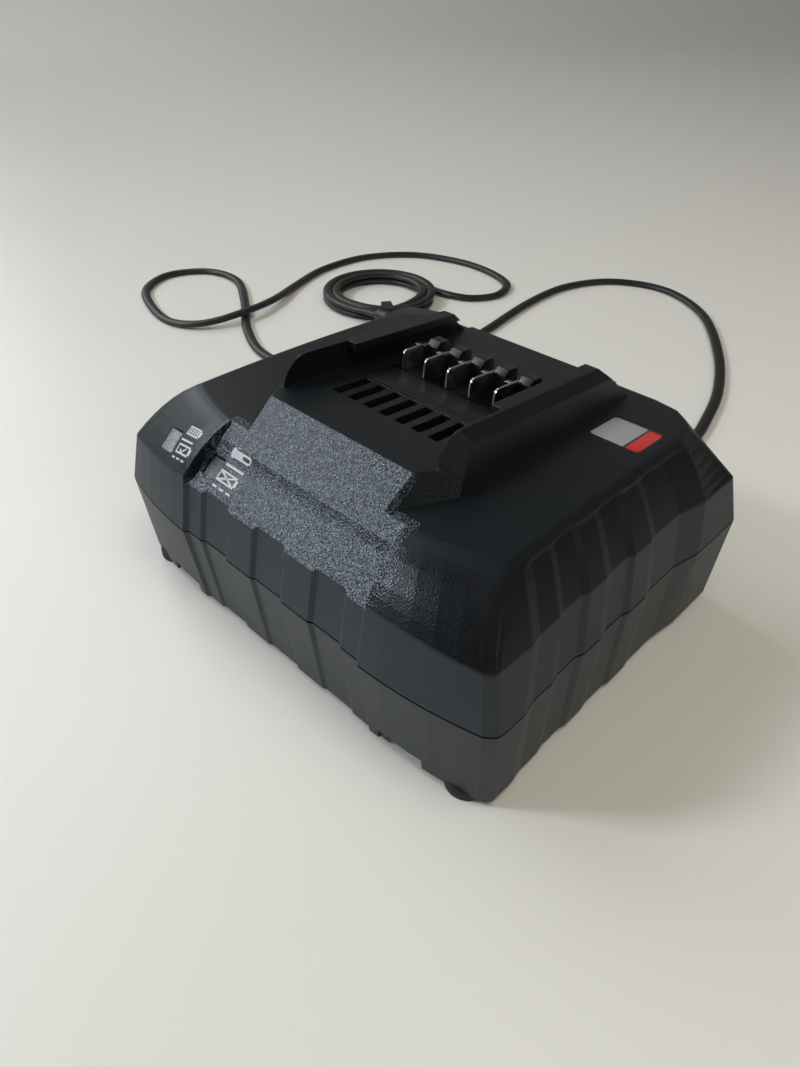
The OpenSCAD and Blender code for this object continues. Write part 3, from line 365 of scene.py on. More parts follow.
def bright_metal(name, colour, roughness, lines, size):
    """Metal with fine drawn lines and a little tarnish."""
    finish = Finish(name, colour, roughness, metallic=1.0)
    finish.vary_colour(colour, 0.12, 4 * MM)
    scratches = finish.noise(size, 4, 0.6, lines)
    finish.set("Roughness", finish.spread(scratches, roughness * 0.7, roughness * 1.5))
    finish.set("Normal", finish.bump(scratches, 0.006 * MM))
    return finish


# Angles in degrees between a CAD node's faces: one flat face, an edge to round, a curved shell face
FLAT_ANGLE = 0.6
SHARP_ANGLE = 8
SHELL_ANGLE = 9
MERGE_WITHIN = 0.002 * MM


def dress(material, names, round_edges=0.0):
    """Gives CAD nodes a material, and softens their sharp edges."""
    for name in names:
        obj = NODES[name]
        cover(obj, material)
        if round_edges:
            soften(obj, round_edges)
    deselect()


def soften(obj, radius):
    """Rounds a CAD node's sharp edges with live modifiers; its own vertices are left where they are."""
    for face in obj.data.polygons:
        face.use_smooth = True
    add_modifier(obj, "Merge", "WELD", merge_threshold=MERGE_WITHIN)
    add_modifier(
        obj, "Whole faces", "DECIMATE", decimate_type="DISSOLVE", angle_limit=math.radians(FLAT_ANGLE),
    )
    add_modifier(
        obj, "Rounded edges", "BEVEL", width=radius, segments=2, limit_method="ANGLE",
        angle_limit=math.radians(SHARP_ANGLE), use_clamp_overlap=True, miter_outer="MITER_ARC",
        harden_normals=True,
    )


# ---- Geometry of the shells, in metres, that the finishes follow ----

# The crease over the walls: its height in front, its falls to the rear and the corners, its softness
CREASE_Z = 52.1 * MM
CREASE_DROP = 2.6 * MM
CORNER_DROP = 2 * MM
CREASE_SOFT = 0.5 * MM

# The nose: half its width, its left end beside the recess, and the deck's lip behind it
NOSE_HALF = 40.2 * MM
NOSE_LEFT = -39.2 * MM
LIP_Y = -35.2 * MM

# The wings: height of their crown, how fast they fall from it (per metre), and its place
WING_Z = 67.1 * MM
WING_FALL = 0.45
WING_CROWN_Y = -17 * MM
RAIL_OUTER = 39.4 * MM

# A point on the right cheek's plane, and one (Y, Z) on the nose's panel, each with the way it faces
CHEEK_AT = (38.3 * MM, -28.6 * MM, 66.6 * MM)
CHEEK_NORMAL = (0.775, -0.4227, 0.469)
PANEL_AT = (-53.8 * MM, 58.0 * MM)
PANEL_NORMAL = (0, -0.628, 0.778)

SEAM_HALF = 0.22 * MM

# Finishes that both shells share
COOL_TINT = (0.88, 0.94, 1.0, 1.0)
# Painted shade: the near-black colour of the seam line stands in for the shadow in the groove between the
# shells.
SEAM_PAINTED_SHADE = (0.0008, 0.0008, 0.001)
SEAM_ROUGH = 0.95


def crease_mask(finish):
    """0 on the walls below the crease and 1 above it."""
    x, y, z = (finish.axis(a) for a in "XYZ")
    out = finish.math("MAXIMUM", finish.math("SUBTRACT", finish.math("ABSOLUTE", x), NOSE_HALF), 0.0)
    share = finish.math("DIVIDE", out, HALF_W - NOSE_HALF)
    corner = finish.times(finish.times(share, share), CORNER_DROP)
    rear = finish.times(finish.math("ADD", y, HALF_D), CREASE_DROP / (2 * HALF_D))
    above = finish.math("ADD", finish.math("ADD", z, corner), rear)
    return finish.step(above, CREASE_Z - CREASE_SOFT, CREASE_Z + CREASE_SOFT)


def over_wing(finish):
    """Height over the wings' surface."""
    behind = finish.math("SUBTRACT", finish.axis("Y"), WING_CROWN_Y)
    fall = finish.times(finish.times(behind, behind), WING_FALL)
    return finish.math("SUBTRACT", finish.math("ADD", finish.axis("Z"), fall), WING_Z)


def nose_mask(finish):
    """1 on the nose's panel, band and ramp, and 1 in the whole area they lie in."""
    x, y = finish.axis("X"), finish.axis("Y")
    across = finish.times(
        finish.step(x, NOSE_LEFT, NOSE_LEFT + 0.2 * MM),
        finish.step(x, RAIL_OUTER + 1.2 * MM, RAIL_OUTER + 0.6 * MM),
    )
    area = finish.times(finish.step(y, LIP_Y + 0.6 * MM, LIP_Y - 0.2 * MM), across)
    ahead = finish.times(finish.math("SUBTRACT", y, PANEL_AT[0]), PANEL_NORMAL[1])
    up = finish.times(finish.math("SUBTRACT", finish.axis("Z"), PANEL_AT[1]), PANEL_NORMAL[2])
    face = finish.step(finish.math("ADD", ahead, up), -0.55 * MM, -0.3 * MM)
    return finish.times(area, face), area


def cheek_mask(finish):
    """1 on the slanted cheeks that lead up to the rails' front ends."""
    x, y, z = (finish.axis(a) for a in "XYZ")
    steps = [
        finish.times(finish.math("SUBTRACT", value, at), share)
        for value, at, share in zip((finish.math("ABSOLUTE", x), y, z), CHEEK_AT, CHEEK_NORMAL)
    ]
    off = finish.math("ABSOLUTE", finish.math("ADD", finish.math("ADD", steps[0], steps[1]), steps[2]))
    return finish.step(off, 0.45 * MM, 0.25 * MM)


def seam_mask(finish):
    """1 in the thin line of painted shadow where the two shells meet."""
    off = finish.math("ABSOLUTE", finish.math("SUBTRACT", finish.axis("Z"), SEAM_Z))
    return finish.step(off, SEAM_HALF + 0.06 * MM, SEAM_HALF - 0.06 * MM)


def fold_radius(finish):
    """Wide on the wings' outer edges, narrow on everything else."""
    x = finish.math("ABSOLUTE", finish.axis("X"))
    beside = finish.step(x, RAIL_OUTER + 2 * MM, RAIL_OUTER + 4 * MM)
    wide = finish.times(beside, finish.step(over_wing(finish), -4.5 * MM, -3 * MM))
    return finish.blend(wide, sizes().shell_round, sizes().fold_round)


def grain_strength(finish, grain_area):
    """Full on the nose and the front corners, fading along the side slopes."""
    x = finish.math("ABSOLUTE", finish.axis("X"))
    corner = finish.spread(finish.step(x, NOSE_HALF, NOSE_HALF + 5 * MM), 1.0, 0.3)
    side = finish.spread(side_slope(finish), 1.0, 0.1)
    return finish.times(grain_area, finish.times(side, corner))


def side_slope(finish):
    """1 on the side slopes, fading towards their front corners."""
    x, y = finish.math("ABSOLUTE", finish.axis("X")), finish.axis("Y")
    return finish.times(finish.step(x, 58 * MM, 66 * MM), finish.step(y, -57 * MM, -38 * MM))


def with_even_panel(finish, nose, normal):
    """The nose's lower panel lies flat right up to the fold's shadow."""
    x = finish.math("ABSOLUTE", finish.axis("X"))
    across = finish.times(nose, finish.step(x, 39.6 * MM, 38.8 * MM))
    along = finish.step(finish.axis("Y"), -50.4 * MM, -54.6 * MM)
    return finish.blend(finish.times(along, across), normal, PANEL_NORMAL, "VECTOR")


def plateau_mask(finish, nose):
    """1 on the smooth wings and in the dock, 0 on the slopes and the nose."""
    over = over_wing(finish)
    wing = finish.step(over, -2.6 * MM, -0.4 * MM)
    rough = finish.math("MAXIMUM", nose, cheek_mask(finish))
    return finish.times(wing, finish.math("SUBTRACT", 1.0, rough, True))


def upper_shell_finish():
    """Satin wings and deck, eroded nose and slopes with painted glints, and matte walls, in one moulding."""
    palette, size = colours(), sizes()
    finish = Finish("upper_shell_plastic", palette.satin, 0.4)
    finish.set("Specular IOR Level", 0.42)
    finish.set("Specular Tint", COOL_TINT)
    nose, nose_area = nose_mask(finish)
    above = finish.math("MAXIMUM", crease_mask(finish), nose)
    smooth_top = plateau_mask(finish, nose)
    recess = finish.math("SUBTRACT", nose_area, nose, True)
    eroded = finish.math("SUBTRACT", finish.math("SUBTRACT", 1.0, smooth_top, True), recess, True)
    grain_area = finish.times(above, eroded)
    cells = finish.cells(size.grain)
    pits = finish.times(cells, cells)
    grain = finish.math("SUBTRACT", finish.noise(size.grain, 1.0, 0.5), pits)
    # Painted glints: bright specks in the base colour that stand in for the lamp glinting off the grain, full
    # on the nose and thin on the other eroded areas off the side slopes.
    big, small = finish.specks(size.grain * 0.9, 0.34), finish.specks(size.grain * 0.62, 0.2)
    dots = finish.math("MAXIMUM", big, small)
    front = finish.math("SUBTRACT", 1.0, side_slope(finish), True)
    painted_glint_area = finish.math("MAXIMUM", nose, finish.times(front, 0.06))
    dots = finish.times(dots, painted_glint_area)
    patches = finish.noise(18 * MM, 3)
    satin = finish.shades(patches, palette.satin, 0.85, 1.2)
    rough_colour = finish.mix(dots, tuple(palette.textured), tuple(palette.painted_glint))
    wall_colour = finish.shades(patches, palette.walls, 0.9, 1.1)
    plain = finish.mix(above, wall_colour, finish.mix(grain_area, satin, rough_colour))
    # The seam line's near-black colour is painted shade.
    seam = seam_mask(finish)
    finish.set("Base Color", finish.mix(seam, plain, SEAM_PAINTED_SHADE))
    dull = finish.math("MAXIMUM", side_slope(finish), finish.step(finish.axis("X"), -42 * MM, -46 * MM))
    satin_rough, grain_rough = finish.spread(patches, 0.34, 0.44), finish.spread(dull, 0.28, 0.5)
    top_rough = finish.blend(grain_area, satin_rough, grain_rough)
    finish.set("Roughness", finish.blend(seam, finish.blend(above, 0.5, top_rough), SEAM_ROUGH))
    fine = finish.noise(0.22 * MM, 2)
    rounded = with_even_panel(finish, nose, finish.rounding(fold_radius(finish)))
    skin = finish.bump(fine, 0.012 * MM, finish.spread(above, 0.9, 0.35), rounded)
    finish.set("Normal", finish.bump(grain, size.grain_depth, grain_strength(finish, grain_area), skin))
    return finish.material


def wall_finish():
    """Matte moulded plastic of the lower shell, with a fine even skin."""
    palette, size = colours(), sizes()
    finish = Finish("lower_shell_plastic", palette.walls, 0.5)
    finish.set("Specular Tint", COOL_TINT)
    # The seam line's near-black colour is painted shade.
    seam = seam_mask(finish)
    plain = finish.shades(finish.noise(22 * MM, 3), palette.walls, 0.9, 1.12)
    finish.set("Base Color", finish.mix(seam, plain, SEAM_PAINTED_SHADE))
    plain_rough = finish.spread(finish.noise(6 * MM, 3), 0.46, 0.55)
    finish.set("Roughness", finish.blend(seam, plain_rough, SEAM_ROUGH))
    fine = finish.noise(0.22 * MM, 2)
    finish.set("Normal", finish.bump(fine, 0.014 * MM, 1.0, finish.rounding(size.shell_round)))
    return finish.material


# ---- The lead ----


def catmull(points, steps):
    """Points along a smooth curve through the given ones."""
    out = []
    last = len(points) - 1
    for i in range(last):
        p0, p1, p2, p3 = (Vector(points[min(max(j, 0), last)]) for j in (i - 1, i, i + 1, i + 2))
        for k in range(steps):
            t = k / steps
            out.append(0.5 * (
                2 * p1 + (p2 - p0) * t + (2 * p0 - 5 * p1 + 4 * p2 - p3) * t * t
                + (3 * p1 - p0 - 3 * p2 + p3) * t * t * t
            ))
    out.append(Vector(points[-1]))
    return out


def eased(value, low, high):
    """0 before low and 1 after high, with a soft start and end."""
    t = min(max((value - low) / (high - low), 0), 1)
    return t * t * (3 - 2 * t)


def coil_point(turn):
    """Centre of the lead after that many turns: down the outer column, in, up, and out again."""
    inwards = eased(turn, 0.78, 1.0) - eased(turn, 2.52, 2.74)
    radius = COIL_R + COIL_COLUMN * (1 - 2 * inwards)
    height = COIL_LOW_Z + (COIL_HIGH_Z - COIL_LOW_Z) * eased(turn, 1.55, 1.8)
    angle = math.radians(90) + turn * 2 * math.pi
    return Vector((
        COIL_CENTRE[0] + radius * math.cos(angle), COIL_CENTRE[1] + radius * math.sin(angle), height,
    ))


def lead_line():
    """The lead's whole centreline in metres: the free route, the coil and the run to the plug."""
    steps_per_turn = 40
    count = int(COIL_TURNS * steps_per_turn)
    free = catmull(LEAD_POINTS, 7)
    coil = [coil_point(i / steps_per_turn) for i in range(1, count)]
    tail = catmull(TAIL_POINTS, 5)
    return [p * MM for p in free + coil + tail]


def lead_profile(width, thickness):
    """Closed curve for the flat lead's section: two cores side by side in an oval jacket."""
    bpy.ops.curve.primitive_bezier_circle_add(radius=1)
    profile = bpy.context.object
    profile.scale = (width / 2, thickness / 2, 1)
    activate(profile)
    bpy.ops.object.transform_apply(location=False, rotation=False, scale=True)
    for point in profile.data.splines[0].bezier_points:
        for handle in ("handle_left", "handle_right"):
            at = getattr(point, handle)
            if abs(point.co.y) > abs(point.co.x):
                setattr(point, handle, Vector((at.x * 1.25, at.y, 0)))
    profile.data.resolution_u = 5
    return profile


def swept(name, line, profile):
    """Mesh tube of the profile along the line, kept flat side down, with closed ends."""
    curve = bpy.data.curves.new(name, "CURVE")
    curve.dimensions = "3D"
    curve.twist_mode = "Z_UP"
    spline = curve.splines.new("POLY")
    spline.points.add(len(line) - 1)
    for point, at in zip(spline.points, line):
        point.co = (*at, 1)
    curve.bevel_mode = "OBJECT"
    curve.bevel_object = profile
    curve.use_fill_caps = True
    obj = bpy.data.objects.new(name, curve)
    bpy.context.scene.collection.objects.link(obj)
    activate(obj)
    bpy.ops.object.convert(target="MESH")
    return bpy.context.view_layer.objects.active


def rubber(name, colour, roughness=0.42):
    """Soft PVC: a faint mottle, and a surface that isn't quite even."""
    finish = Finish(name, colour, roughness)
    finish.vary_colour(colour, 0.25, 10 * MM)
    finish.set("Roughness", finish.spread(finish.noise(6 * MM, 4), roughness * 0.8, roughness * 1.2))
    finish.set("Normal", finish.bump(finish.noise(0.9 * MM, 4), 0.02 * MM))
    return finish


def revolve(profile, name, steps):
    """Spins a closed (radius, height) outline about the Z axis through the origin."""
    bpy.ops.mesh.primitive_plane_add(size=1)
    obj = bpy.context.object
    bpy.ops.object.mode_set(mode="EDIT")
    bpy.ops.mesh.select_mode(type="VERT")
    bpy.ops.mesh.select_all(action="SELECT")
    bpy.ops.mesh.merge(type="CENTER")
    bpy.ops.object.mode_set(mode="OBJECT")
    obj.data.vertices[0].co = (profile[0][0], 0, profile[0][1])
    bpy.ops.object.mode_set(mode="EDIT")
    bpy.ops.mesh.select_all(action="SELECT")
    for (r0, z0), (r1, z1) in zip(profile, profile[1:]):
        bpy.ops.mesh.extrude_region_move(TRANSFORM_OT_translate={"value": (r1 - r0, 0, z1 - z0)})
    bpy.ops.mesh.select_all(action="SELECT")
    bpy.ops.mesh.spin(steps=steps, angle=2 * math.pi, center=(0, 0, 0), axis=(0, 0, 1))
    bpy.ops.mesh.select_all(action="SELECT")
    bpy.ops.mesh.remove_doubles(threshold=0.005 * MM)
    bpy.ops.mesh.select_all(action="SELECT")
    bpy.ops.mesh.normals_make_consistent(inside=False)
    bpy.ops.object.mode_set(mode="OBJECT")
    obj.name = name
    return obj


# Depth of the grooves round the strain relief
GROOVE_DEPTH = 0.9 * MM


def relief_piece():
    """Strain relief: a collar inside, its neck, a flange on the wall, and a tapered, grooved sleeve."""
    size = sizes()
    radius = (RELIEF_HIGH.x - RELIEF_LOW.x) / 2
    reach = RELIEF_HIGH.y - RELIEF_LOW.y
    inner = RELIEF_LOW.y
    wall_y = HALF_D - 1.1 * MM
    flange = 3 * MM
    tip_r = 3.2 * MM
    base_r = radius - 0.6 * MM
    collar = 1.7 * MM
    neck_r = radius - 1.1 * MM
    chamfer = 0.3 * MM
    wall_at = wall_y - inner
    start = wall_at + flange
    outline = [
        (0.0, 0.0), (radius - chamfer, 0.0), (radius, chamfer), (radius, collar - chamfer),
        (radius - chamfer, collar), (neck_r, collar), (neck_r, wall_at),
        (radius - 0.4 * MM, wall_at), (radius, wall_at + 0.4 * MM),
        (radius, start - 0.5 * MM), (radius - 0.5 * MM, start),
    ]
    pitch = (reach - start) / (size.relief_grooves + 1.5)
    for i in range(size.relief_grooves):
        low = start + (i + 0.75) * pitch
        for share, cut in ((0, 0), (0.12, GROOVE_DEPTH), (0.38, GROOVE_DEPTH), (0.5, 0)):
            at = low + share * pitch
            taper = base_r + (tip_r - base_r) * (at - start) / (reach - start)
            outline.append((taper - cut, at))
    outline += [(tip_r, reach - 0.4 * MM), (tip_r - 0.4 * MM, reach), (0.0, reach)]
    obj = revolve(outline, "relief", 40)
    obj.rotation_euler = (math.radians(-90), 0, 0)
    obj.location = ((RELIEF_LOW.x + RELIEF_HIGH.x) / 2, inner, (RELIEF_LOW.z + RELIEF_HIGH.z) / 2)
    place_in_mesh(obj)
    smooth(obj, 30)
    return obj


class CHARGER_OT_lead(bpy.types.Operator):
    """Makes the flat mains lead with its coil and the strain relief, and finishes the tie and the plug"""

    bl_idname = "charger.lead"
    bl_label = "Mains lead"

    def execute(self, context):
        size, palette = sizes(), colours()
        profile = lead_profile(size.lead_width, size.lead_thickness)
        line = lead_line()
        jacket = rubber("lead_jacket", palette.lead)
        lead = swept("mains_lead_run", line, profile)
        bpy.data.objects.remove(profile)
        smooth(lead, 60)
        take_in(lead, "mains_lead_run", jacket.material,
                instead_of=("mains_lead", "lead_coil", "plug_lead"))
        sleeve = rubber("relief_pvc", palette.lead, 0.5)
        relief = take_in(relief_piece(), "strain_relief_sleeve", sleeve.material,
                         instead_of=("strain_relief",))
        tie = Finish("tie_fabric", (0.016, 0.016, 0.018), 0.85)
        weave = tie.cells(0.5 * MM)
        tie.set("Base Color", tie.mix(weave, (0.006, 0.006, 0.007), (0.03, 0.03, 0.033)))
        tie.set("Normal", tie.bump(weave, 0.12 * MM))
        dress(tie.material, ["coil_tie"], 0.12 * MM)
        plug = plain_plastic("plug_pvc", tuple(c * 1.3 for c in palette.lead), 0.46, 0.02 * MM, 0.5 * MM)
        dress(plug.material, ["plug_body"], 1.2 * MM)
        dress(pin_finish(), ["plug_pins"])
        return {"FINISHED"}


def pin_finish():
    """Nickel pins with a black insulating sleeve next to the plug."""
    finish = Finish("pin_nickel", (0.78, 0.76, 0.72), 0.25)
    bare = finish.step(finish.axis("X"), PLUG_FACE + 8.7 * MM, PLUG_FACE + 8.9 * MM)
    finish.set("Base Color", finish.mix(bare, (0.012, 0.012, 0.013), (0.74, 0.72, 0.66)))
    finish.set("Metallic", finish.spread(bare, 0.0, 1.0))
    lines = finish.noise(0.4 * MM, 4, 0.6, (8, 1, 1))
    finish.set("Roughness", finish.blend(bare, 0.45, finish.spread(lines, 0.16, 0.34)))
    finish.set("Normal", finish.bump(lines, 0.004 * MM))
    return finish.material


# ---- Shells, contacts, windows and badge ----


class CHARGER_OT_shells(bpy.types.Operator):
    """Finishes the two shells, their feet and their screws"""

    bl_idname = "charger.shells"
    bl_label = "Shells"

    def execute(self, context):
        for name, finish in (("upper_housing", upper_shell_finish), ("lower_housing", wall_finish)):
            dress(finish(), [name])
            smooth(NODES[name], SHELL_ANGLE)
        deselect()
        foot = rubber("foot_rubber", (0.014, 0.014, 0.015), 0.7)
        dress(foot.material, [f"rubber_foot_{i}" for i in range(1, 5)], 0.4 * MM)
        screw = bright_metal("zinc_screw", (0.55, 0.56, 0.58), 0.3, (1, 1, 3), 0.8 * MM)
        dress(screw.material, [
            "housing_screws", "board_screws", "light_board_screws", "duct_screws", "fan_screws",
        ])
        return {"FINISHED"}


class CHARGER_OT_contacts(bpy.types.Operator):
    """Finishes the contact carrier and its five blades"""

    bl_idname = "charger.contacts"
    bl_label = "Contacts"

    def execute(self, context):
        size = sizes()
        blade = Finish("blade_nickel", (0.5, 0.48, 0.44), 0.2, metallic=1.0)
        drawn = blade.noise(0.9 * MM, 2, 0.5, (1, 1, 9))
        blade.set("Base Color", blade.mix(drawn, (0.44, 0.43, 0.4), (0.55, 0.53, 0.49)))
        blade.set("Roughness", blade.spread(drawn, 0.17, 0.25))
        blade.set("Normal", blade.bump(drawn, 0.002 * MM))
        dress(blade.material, [f"contact_blade_{i}" for i in range(1, 6)], size.small_round)
        carrier = plain_plastic("carrier_plastic", (0.006, 0.007, 0.009), 0.34, 0.005 * MM, 0.6 * MM)
        dress(carrier.material, ["contact_carrier"], size.small_round * 1.5)
        return {"FINISHED"}


# The windows' grey, which leans to blue
WINDOW_TINT = (1, 1.06, 1.16)


class CHARGER_OT_windows(bpy.types.Operator):
    """Finishes the two light windows, the left one lighter than the nose's"""

    bl_idname = "charger.windows"
    bl_label = "Light windows"

    def execute(self, context):
        size = sizes()
        for side, low, high in (("left", 0.15, 0.24), ("nose", 0.03, 0.07)):
            milky = Finish(f"window_{side}", (high, high, high), 0.42, ior=1.49)
            hatch = milky.step(milky.noise(0.5 * MM, 0, 0.5, (1, 0.1, 1)), 0.46, 0.54)
            dark, light = (tuple(level * c for c in WINDOW_TINT) for level in (low, high))
            milky.set("Base Color", milky.mix(hatch, dark, light))
            milky.set("Roughness", milky.spread(milky.noise(1.6 * MM, 3), 0.38, 0.5))
            milky.set("Normal", milky.bump(hatch, 0.01 * MM))
            dress(milky.material, [f"light_window_{side}"], size.small_round)
        return {"FINISHED"}


# Width of the plain band on the badge's right side
BAND_WIDTH = 4.3 * MM


class CHARGER_OT_badge(bpy.types.Operator):
    """Finishes the bare badge plate with a plain band along its side"""

    bl_idname = "charger.badge"
    bl_label = "Badge"

    def execute(self, context):
        size, palette = sizes(), colours()
        finish = Finish("badge_film", palette.badge, 0.3, coat_weight=0.5, coat_roughness=0.08)
        x = finish.axis("X")
        edge = BADGE_RIGHT - BAND_WIDTH
        band = finish.step(x, edge - 0.08 * MM, edge + 0.08 * MM)
        gap = finish.times(
            finish.step(x, edge - 0.9 * MM, edge - 0.82 * MM),
            finish.step(x, edge + 0.02 * MM, edge - 0.06 * MM),
        )
        grey = finish.shades(finish.noise(0.12 * MM, 1), palette.badge, 0.85, 1.15)
        face = finish.mix(band, grey, tuple(palette.badge_band))
        finish.set("Base Color", finish.mix(gap, face, (0.02, 0.02, 0.022)))
        finish.set("Roughness", finish.spread(finish.noise(3 * MM, 3), 0.24, 0.36))
        finish.set("Normal", finish.bump(finish.noise(0.3 * MM, 2), 0.004 * MM))
        dress(finish.material, ["badge_plate"], size.small_round)
        return {"FINISHED"}


# ---- Printed marks ----


def bar(x0, y0, x1, y1):
    """Corners of an upright rectangle of print."""
    return [(x0, y0), (x1, y0), (x1, y1), (x0, y1)]


def disc(x, y, radius, corners=12):
    """Corners of a round spot of print."""
    turns = [math.tau * i / corners for i in range(corners)]
    return [(x + radius * math.cos(turn), y + radius * math.sin(turn)) for turn in turns]


def outline_box(x0, y0, x1, y1, line):
    """Four bars that make a rectangle's outline."""
    return [bar(x0, y0, x1, y0 + line), bar(x0, y1 - line, x1, y1),
            bar(x0, y0 + line, x0 + line, y1 - line), bar(x1 - line, y0 + line, x1, y1 - line)]


def stroke(x0, y0, x1, y1, line):
    """Corners of a slanted line of print."""
    along = Vector((x1 - x0, y1 - y0)).normalized() * line / 2
    side = Vector((-along.y, along.x))
    a, b = Vector((x0, y0)), Vector((x1, y1))
    return [tuple(a - side), tuple(b - side), tuple(b + side), tuple(a + side)]


def cell_mark(x, y, w, h, line):
    """A battery cell lying on its side: an outline with a cap at its right."""
    cap = h * 0.2
    return outline_box(x, y, x + w, y + h, line) + [bar(x + w, y + cap, x + w + line * 1.6, y + h - cap)]


def dashes(x, y, count, dash, gap, line):
    """A row of short bars."""
    starts = [x + i * (dash + gap) for i in range(count)]
    return [bar(start, y, start + dash, y + line) for start in starts]


# Height over the table from which print is laid down
PRINT_DROP = 90 * MM


def print_piece(name, shapes, origin, material):
    """Thin print laid on the upper shell from above; shapes are outlines in millimetres about origin."""
    made = []
    for shape in shapes:
        bpy.ops.mesh.primitive_circle_add(vertices=len(shape), fill_type="NGON")
        flat = bpy.context.object
        for vertex, (x, y) in zip(flat.data.vertices, shape):
            vertex.co = (x * MM, y * MM, 0)
        made.append(flat)
    obj = join_meshes(made)
    obj.location = (*origin, PRINT_DROP)
    place_in_mesh(obj)
    bpy.ops.object.mode_set(mode="EDIT")
    bpy.ops.mesh.select_all(action="SELECT")
    bpy.ops.mesh.subdivide(number_cuts=3)
    bpy.ops.mesh.normals_make_consistent(inside=False)
    bpy.ops.object.mode_set(mode="OBJECT")
    add_modifier(
        obj, "Laid on", "SHRINKWRAP", target=NODES["upper_housing"], wrap_method="PROJECT",
        use_project_z=True, use_negative_direction=True, use_positive_direction=False,
        use_project_x=False, use_project_y=False, offset=sizes().print_lift,
    )
    apply_modifiers(obj)
    return take_in(obj, name, material)


def window_middle(window):
    """Middle of a light window, seen from above."""
    low, high = window
    return (low.x + high.x) / 2, (low.y + high.y) / 2


class CHARGER_OT_prints(bpy.types.Operator):
    """Prints the plain pictograms beside the two light windows"""

    bl_idname = "charger.prints"
    bl_label = "Printed marks"

    def execute(self, context):
        palette = colours()
        finish = Finish("mark_ink", palette.print_white, 0.5)
        uneven = finish.noise(0.5 * MM, 2)
        finish.set("Base Color", finish.shades(uneven, palette.print_white, 0.75, 1.0))
        finish.set("Normal", finish.bump(finish.noise(0.3 * MM, 2), 0.006 * MM))
        line = 0.45
        left = cell_mark(4.8, 2.6, 6.0, 2.5, line)
        left += [bar(5.7 + 1.2 * i, 3.2, 6.4 + 1.2 * i, 4.5) for i in range(4)]
        left += [bar(4.3, 0.85, 10.4, 1.35)]
        left += cell_mark(4.7, -2.3, 6.2, 2.4, line)
        left += [stroke(6.4, -1.2, 7.4, -1.8, line), stroke(7.4, -1.8, 9.2, -0.6, line)]
        left += dashes(4.4, -3.6, 3, 1.5, 0.9, 0.42)
        print_piece("window_marks_left", left, window_middle(WINDOW_LEFT), finish.material)
        nose = [disc(5.2, 4.5, 1.05), bar(5.9, 3.75, 9.6, 5.25)]
        nose += [bar(9.6, 3.75, 12.9, 4.15), bar(9.6, 4.85, 12.9, 5.25), bar(12.9, 3.95, 13.4, 5.05)]
        nose += [bar(4.0, 1.75, 12.6, 2.3)]
        nose += cell_mark(3.7, -2.4, 8.2, 2.9, line)
        nose += [stroke(4.4, -2.0, 11.2, 0.1, line), stroke(4.4, 0.1, 11.2, -2.0, line)]
        nose += dashes(4.0, -4.1, 3, 2.0, 1.3, 0.5)
        print_piece("window_marks_nose", nose, window_middle(WINDOW_NOSE), finish.material)
        return {"FINISHED"}


# ---- Inside ----


WIRE_RED = (0.25, 0.02, 0.02)
WIRE_BLUE = (0.02, 0.05, 0.22)

# Name, colour and roughness; depth and size of the skin, and edge rounding, in millimetres; nodes
INSIDE_PLASTICS = (
    ("ferrite_core", (0.03, 0.03, 0.033), 0.6, 0.03, 0.3, 0.2, ["transformer_core"]),
    ("bobbin_nylon", (0.5, 0.42, 0.2), 0.5, 0.01, 0.4, 0, ["transformer_bobbin"]),
    ("winding_tape", (0.7, 0.5, 0.06), 0.35, 0.02, 1.5, 0, ["transformer_winding"]),
    ("capacitor_sleeve", (0.02, 0.03, 0.055), 0.28, 0.01, 2, 0.4,
     ["mains_capacitor_front", "mains_capacitor_rear", "output_capacitors"]),
    ("film_capacitor_resin", (0.6, 0.42, 0.03), 0.35, 0.01, 0.4, 0.3, ["filter_capacitor"]),
    ("fuse_ceramic", (0.7, 0.7, 0.66), 0.25, 0.01, 0.4, 0, ["fuse"]),
    ("terminal_green", (0.03, 0.16, 0.06), 0.45, 0.01, 0.4, 0.2, ["terminal_block"]),
)


class CHARGER_OT_electronics(bpy.types.Operator):
    """Finishes the boards, transformer, capacitors, heatsinks and wires"""

    bl_idname = "charger.electronics"
    bl_label = "Electronics"

    def execute(self, context):
        board = Finish("board_green", (0.02, 0.09, 0.045), 0.35)
        tracks = board.step(board.noise(2.2 * MM, 1, 0.4, (1, 3, 1)), 0.48, 0.52)
        board.set("Base Color", board.mix(tracks, (0.014, 0.075, 0.035), (0.03, 0.13, 0.06)))
        board.set("Normal", board.bump(tracks, 0.03 * MM))
        dress(board.material, ["circuit_board", "light_board", "contact_board"])
        for name, colour, roughness, depth, grain, rounding, nodes in INSIDE_PLASTICS:
            plastic = plain_plastic(name, colour, roughness, depth * MM, grain * MM)
            dress(plastic.material, nodes, rounding * MM)
        fins = bright_metal("heatsink_aluminium", (0.62, 0.63, 0.65), 0.36, (1, 1, 10), 0.8 * MM)
        dress(fins.material, ["primary_heatsink", "secondary_heatsink"])
        choke = Finish("choke_copper", (0.45, 0.14, 0.04), 0.3, metallic=0.8)
        turns = choke.noise(1.1 * MM, 0, 0.5, (1, 1, 0.2))
        choke.set("Base Color", choke.mix(turns, (0.2, 0.05, 0.015), (0.55, 0.2, 0.06)))
        choke.set("Normal", choke.bump(turns, 0.25 * MM))
        dress(choke.material, ["line_choke"])
        wires = rubber("wire_pvc", WIRE_RED, 0.4)
        shade = wires.step(wires.noise(9 * MM, 0, 0.5, (1, 0.02, 0.02)), 0.47, 0.53)
        wires.set("Base Color", wires.mix(shade, WIRE_RED, WIRE_BLUE))
        wires.set("Roughness", wires.spread(wires.step(wires.axis("X"), -50 * MM, 50 * MM), 0.36, 0.44))
        dress(wires.material, ["inlet_wires", "output_wires"])
        return {"FINISHED"}


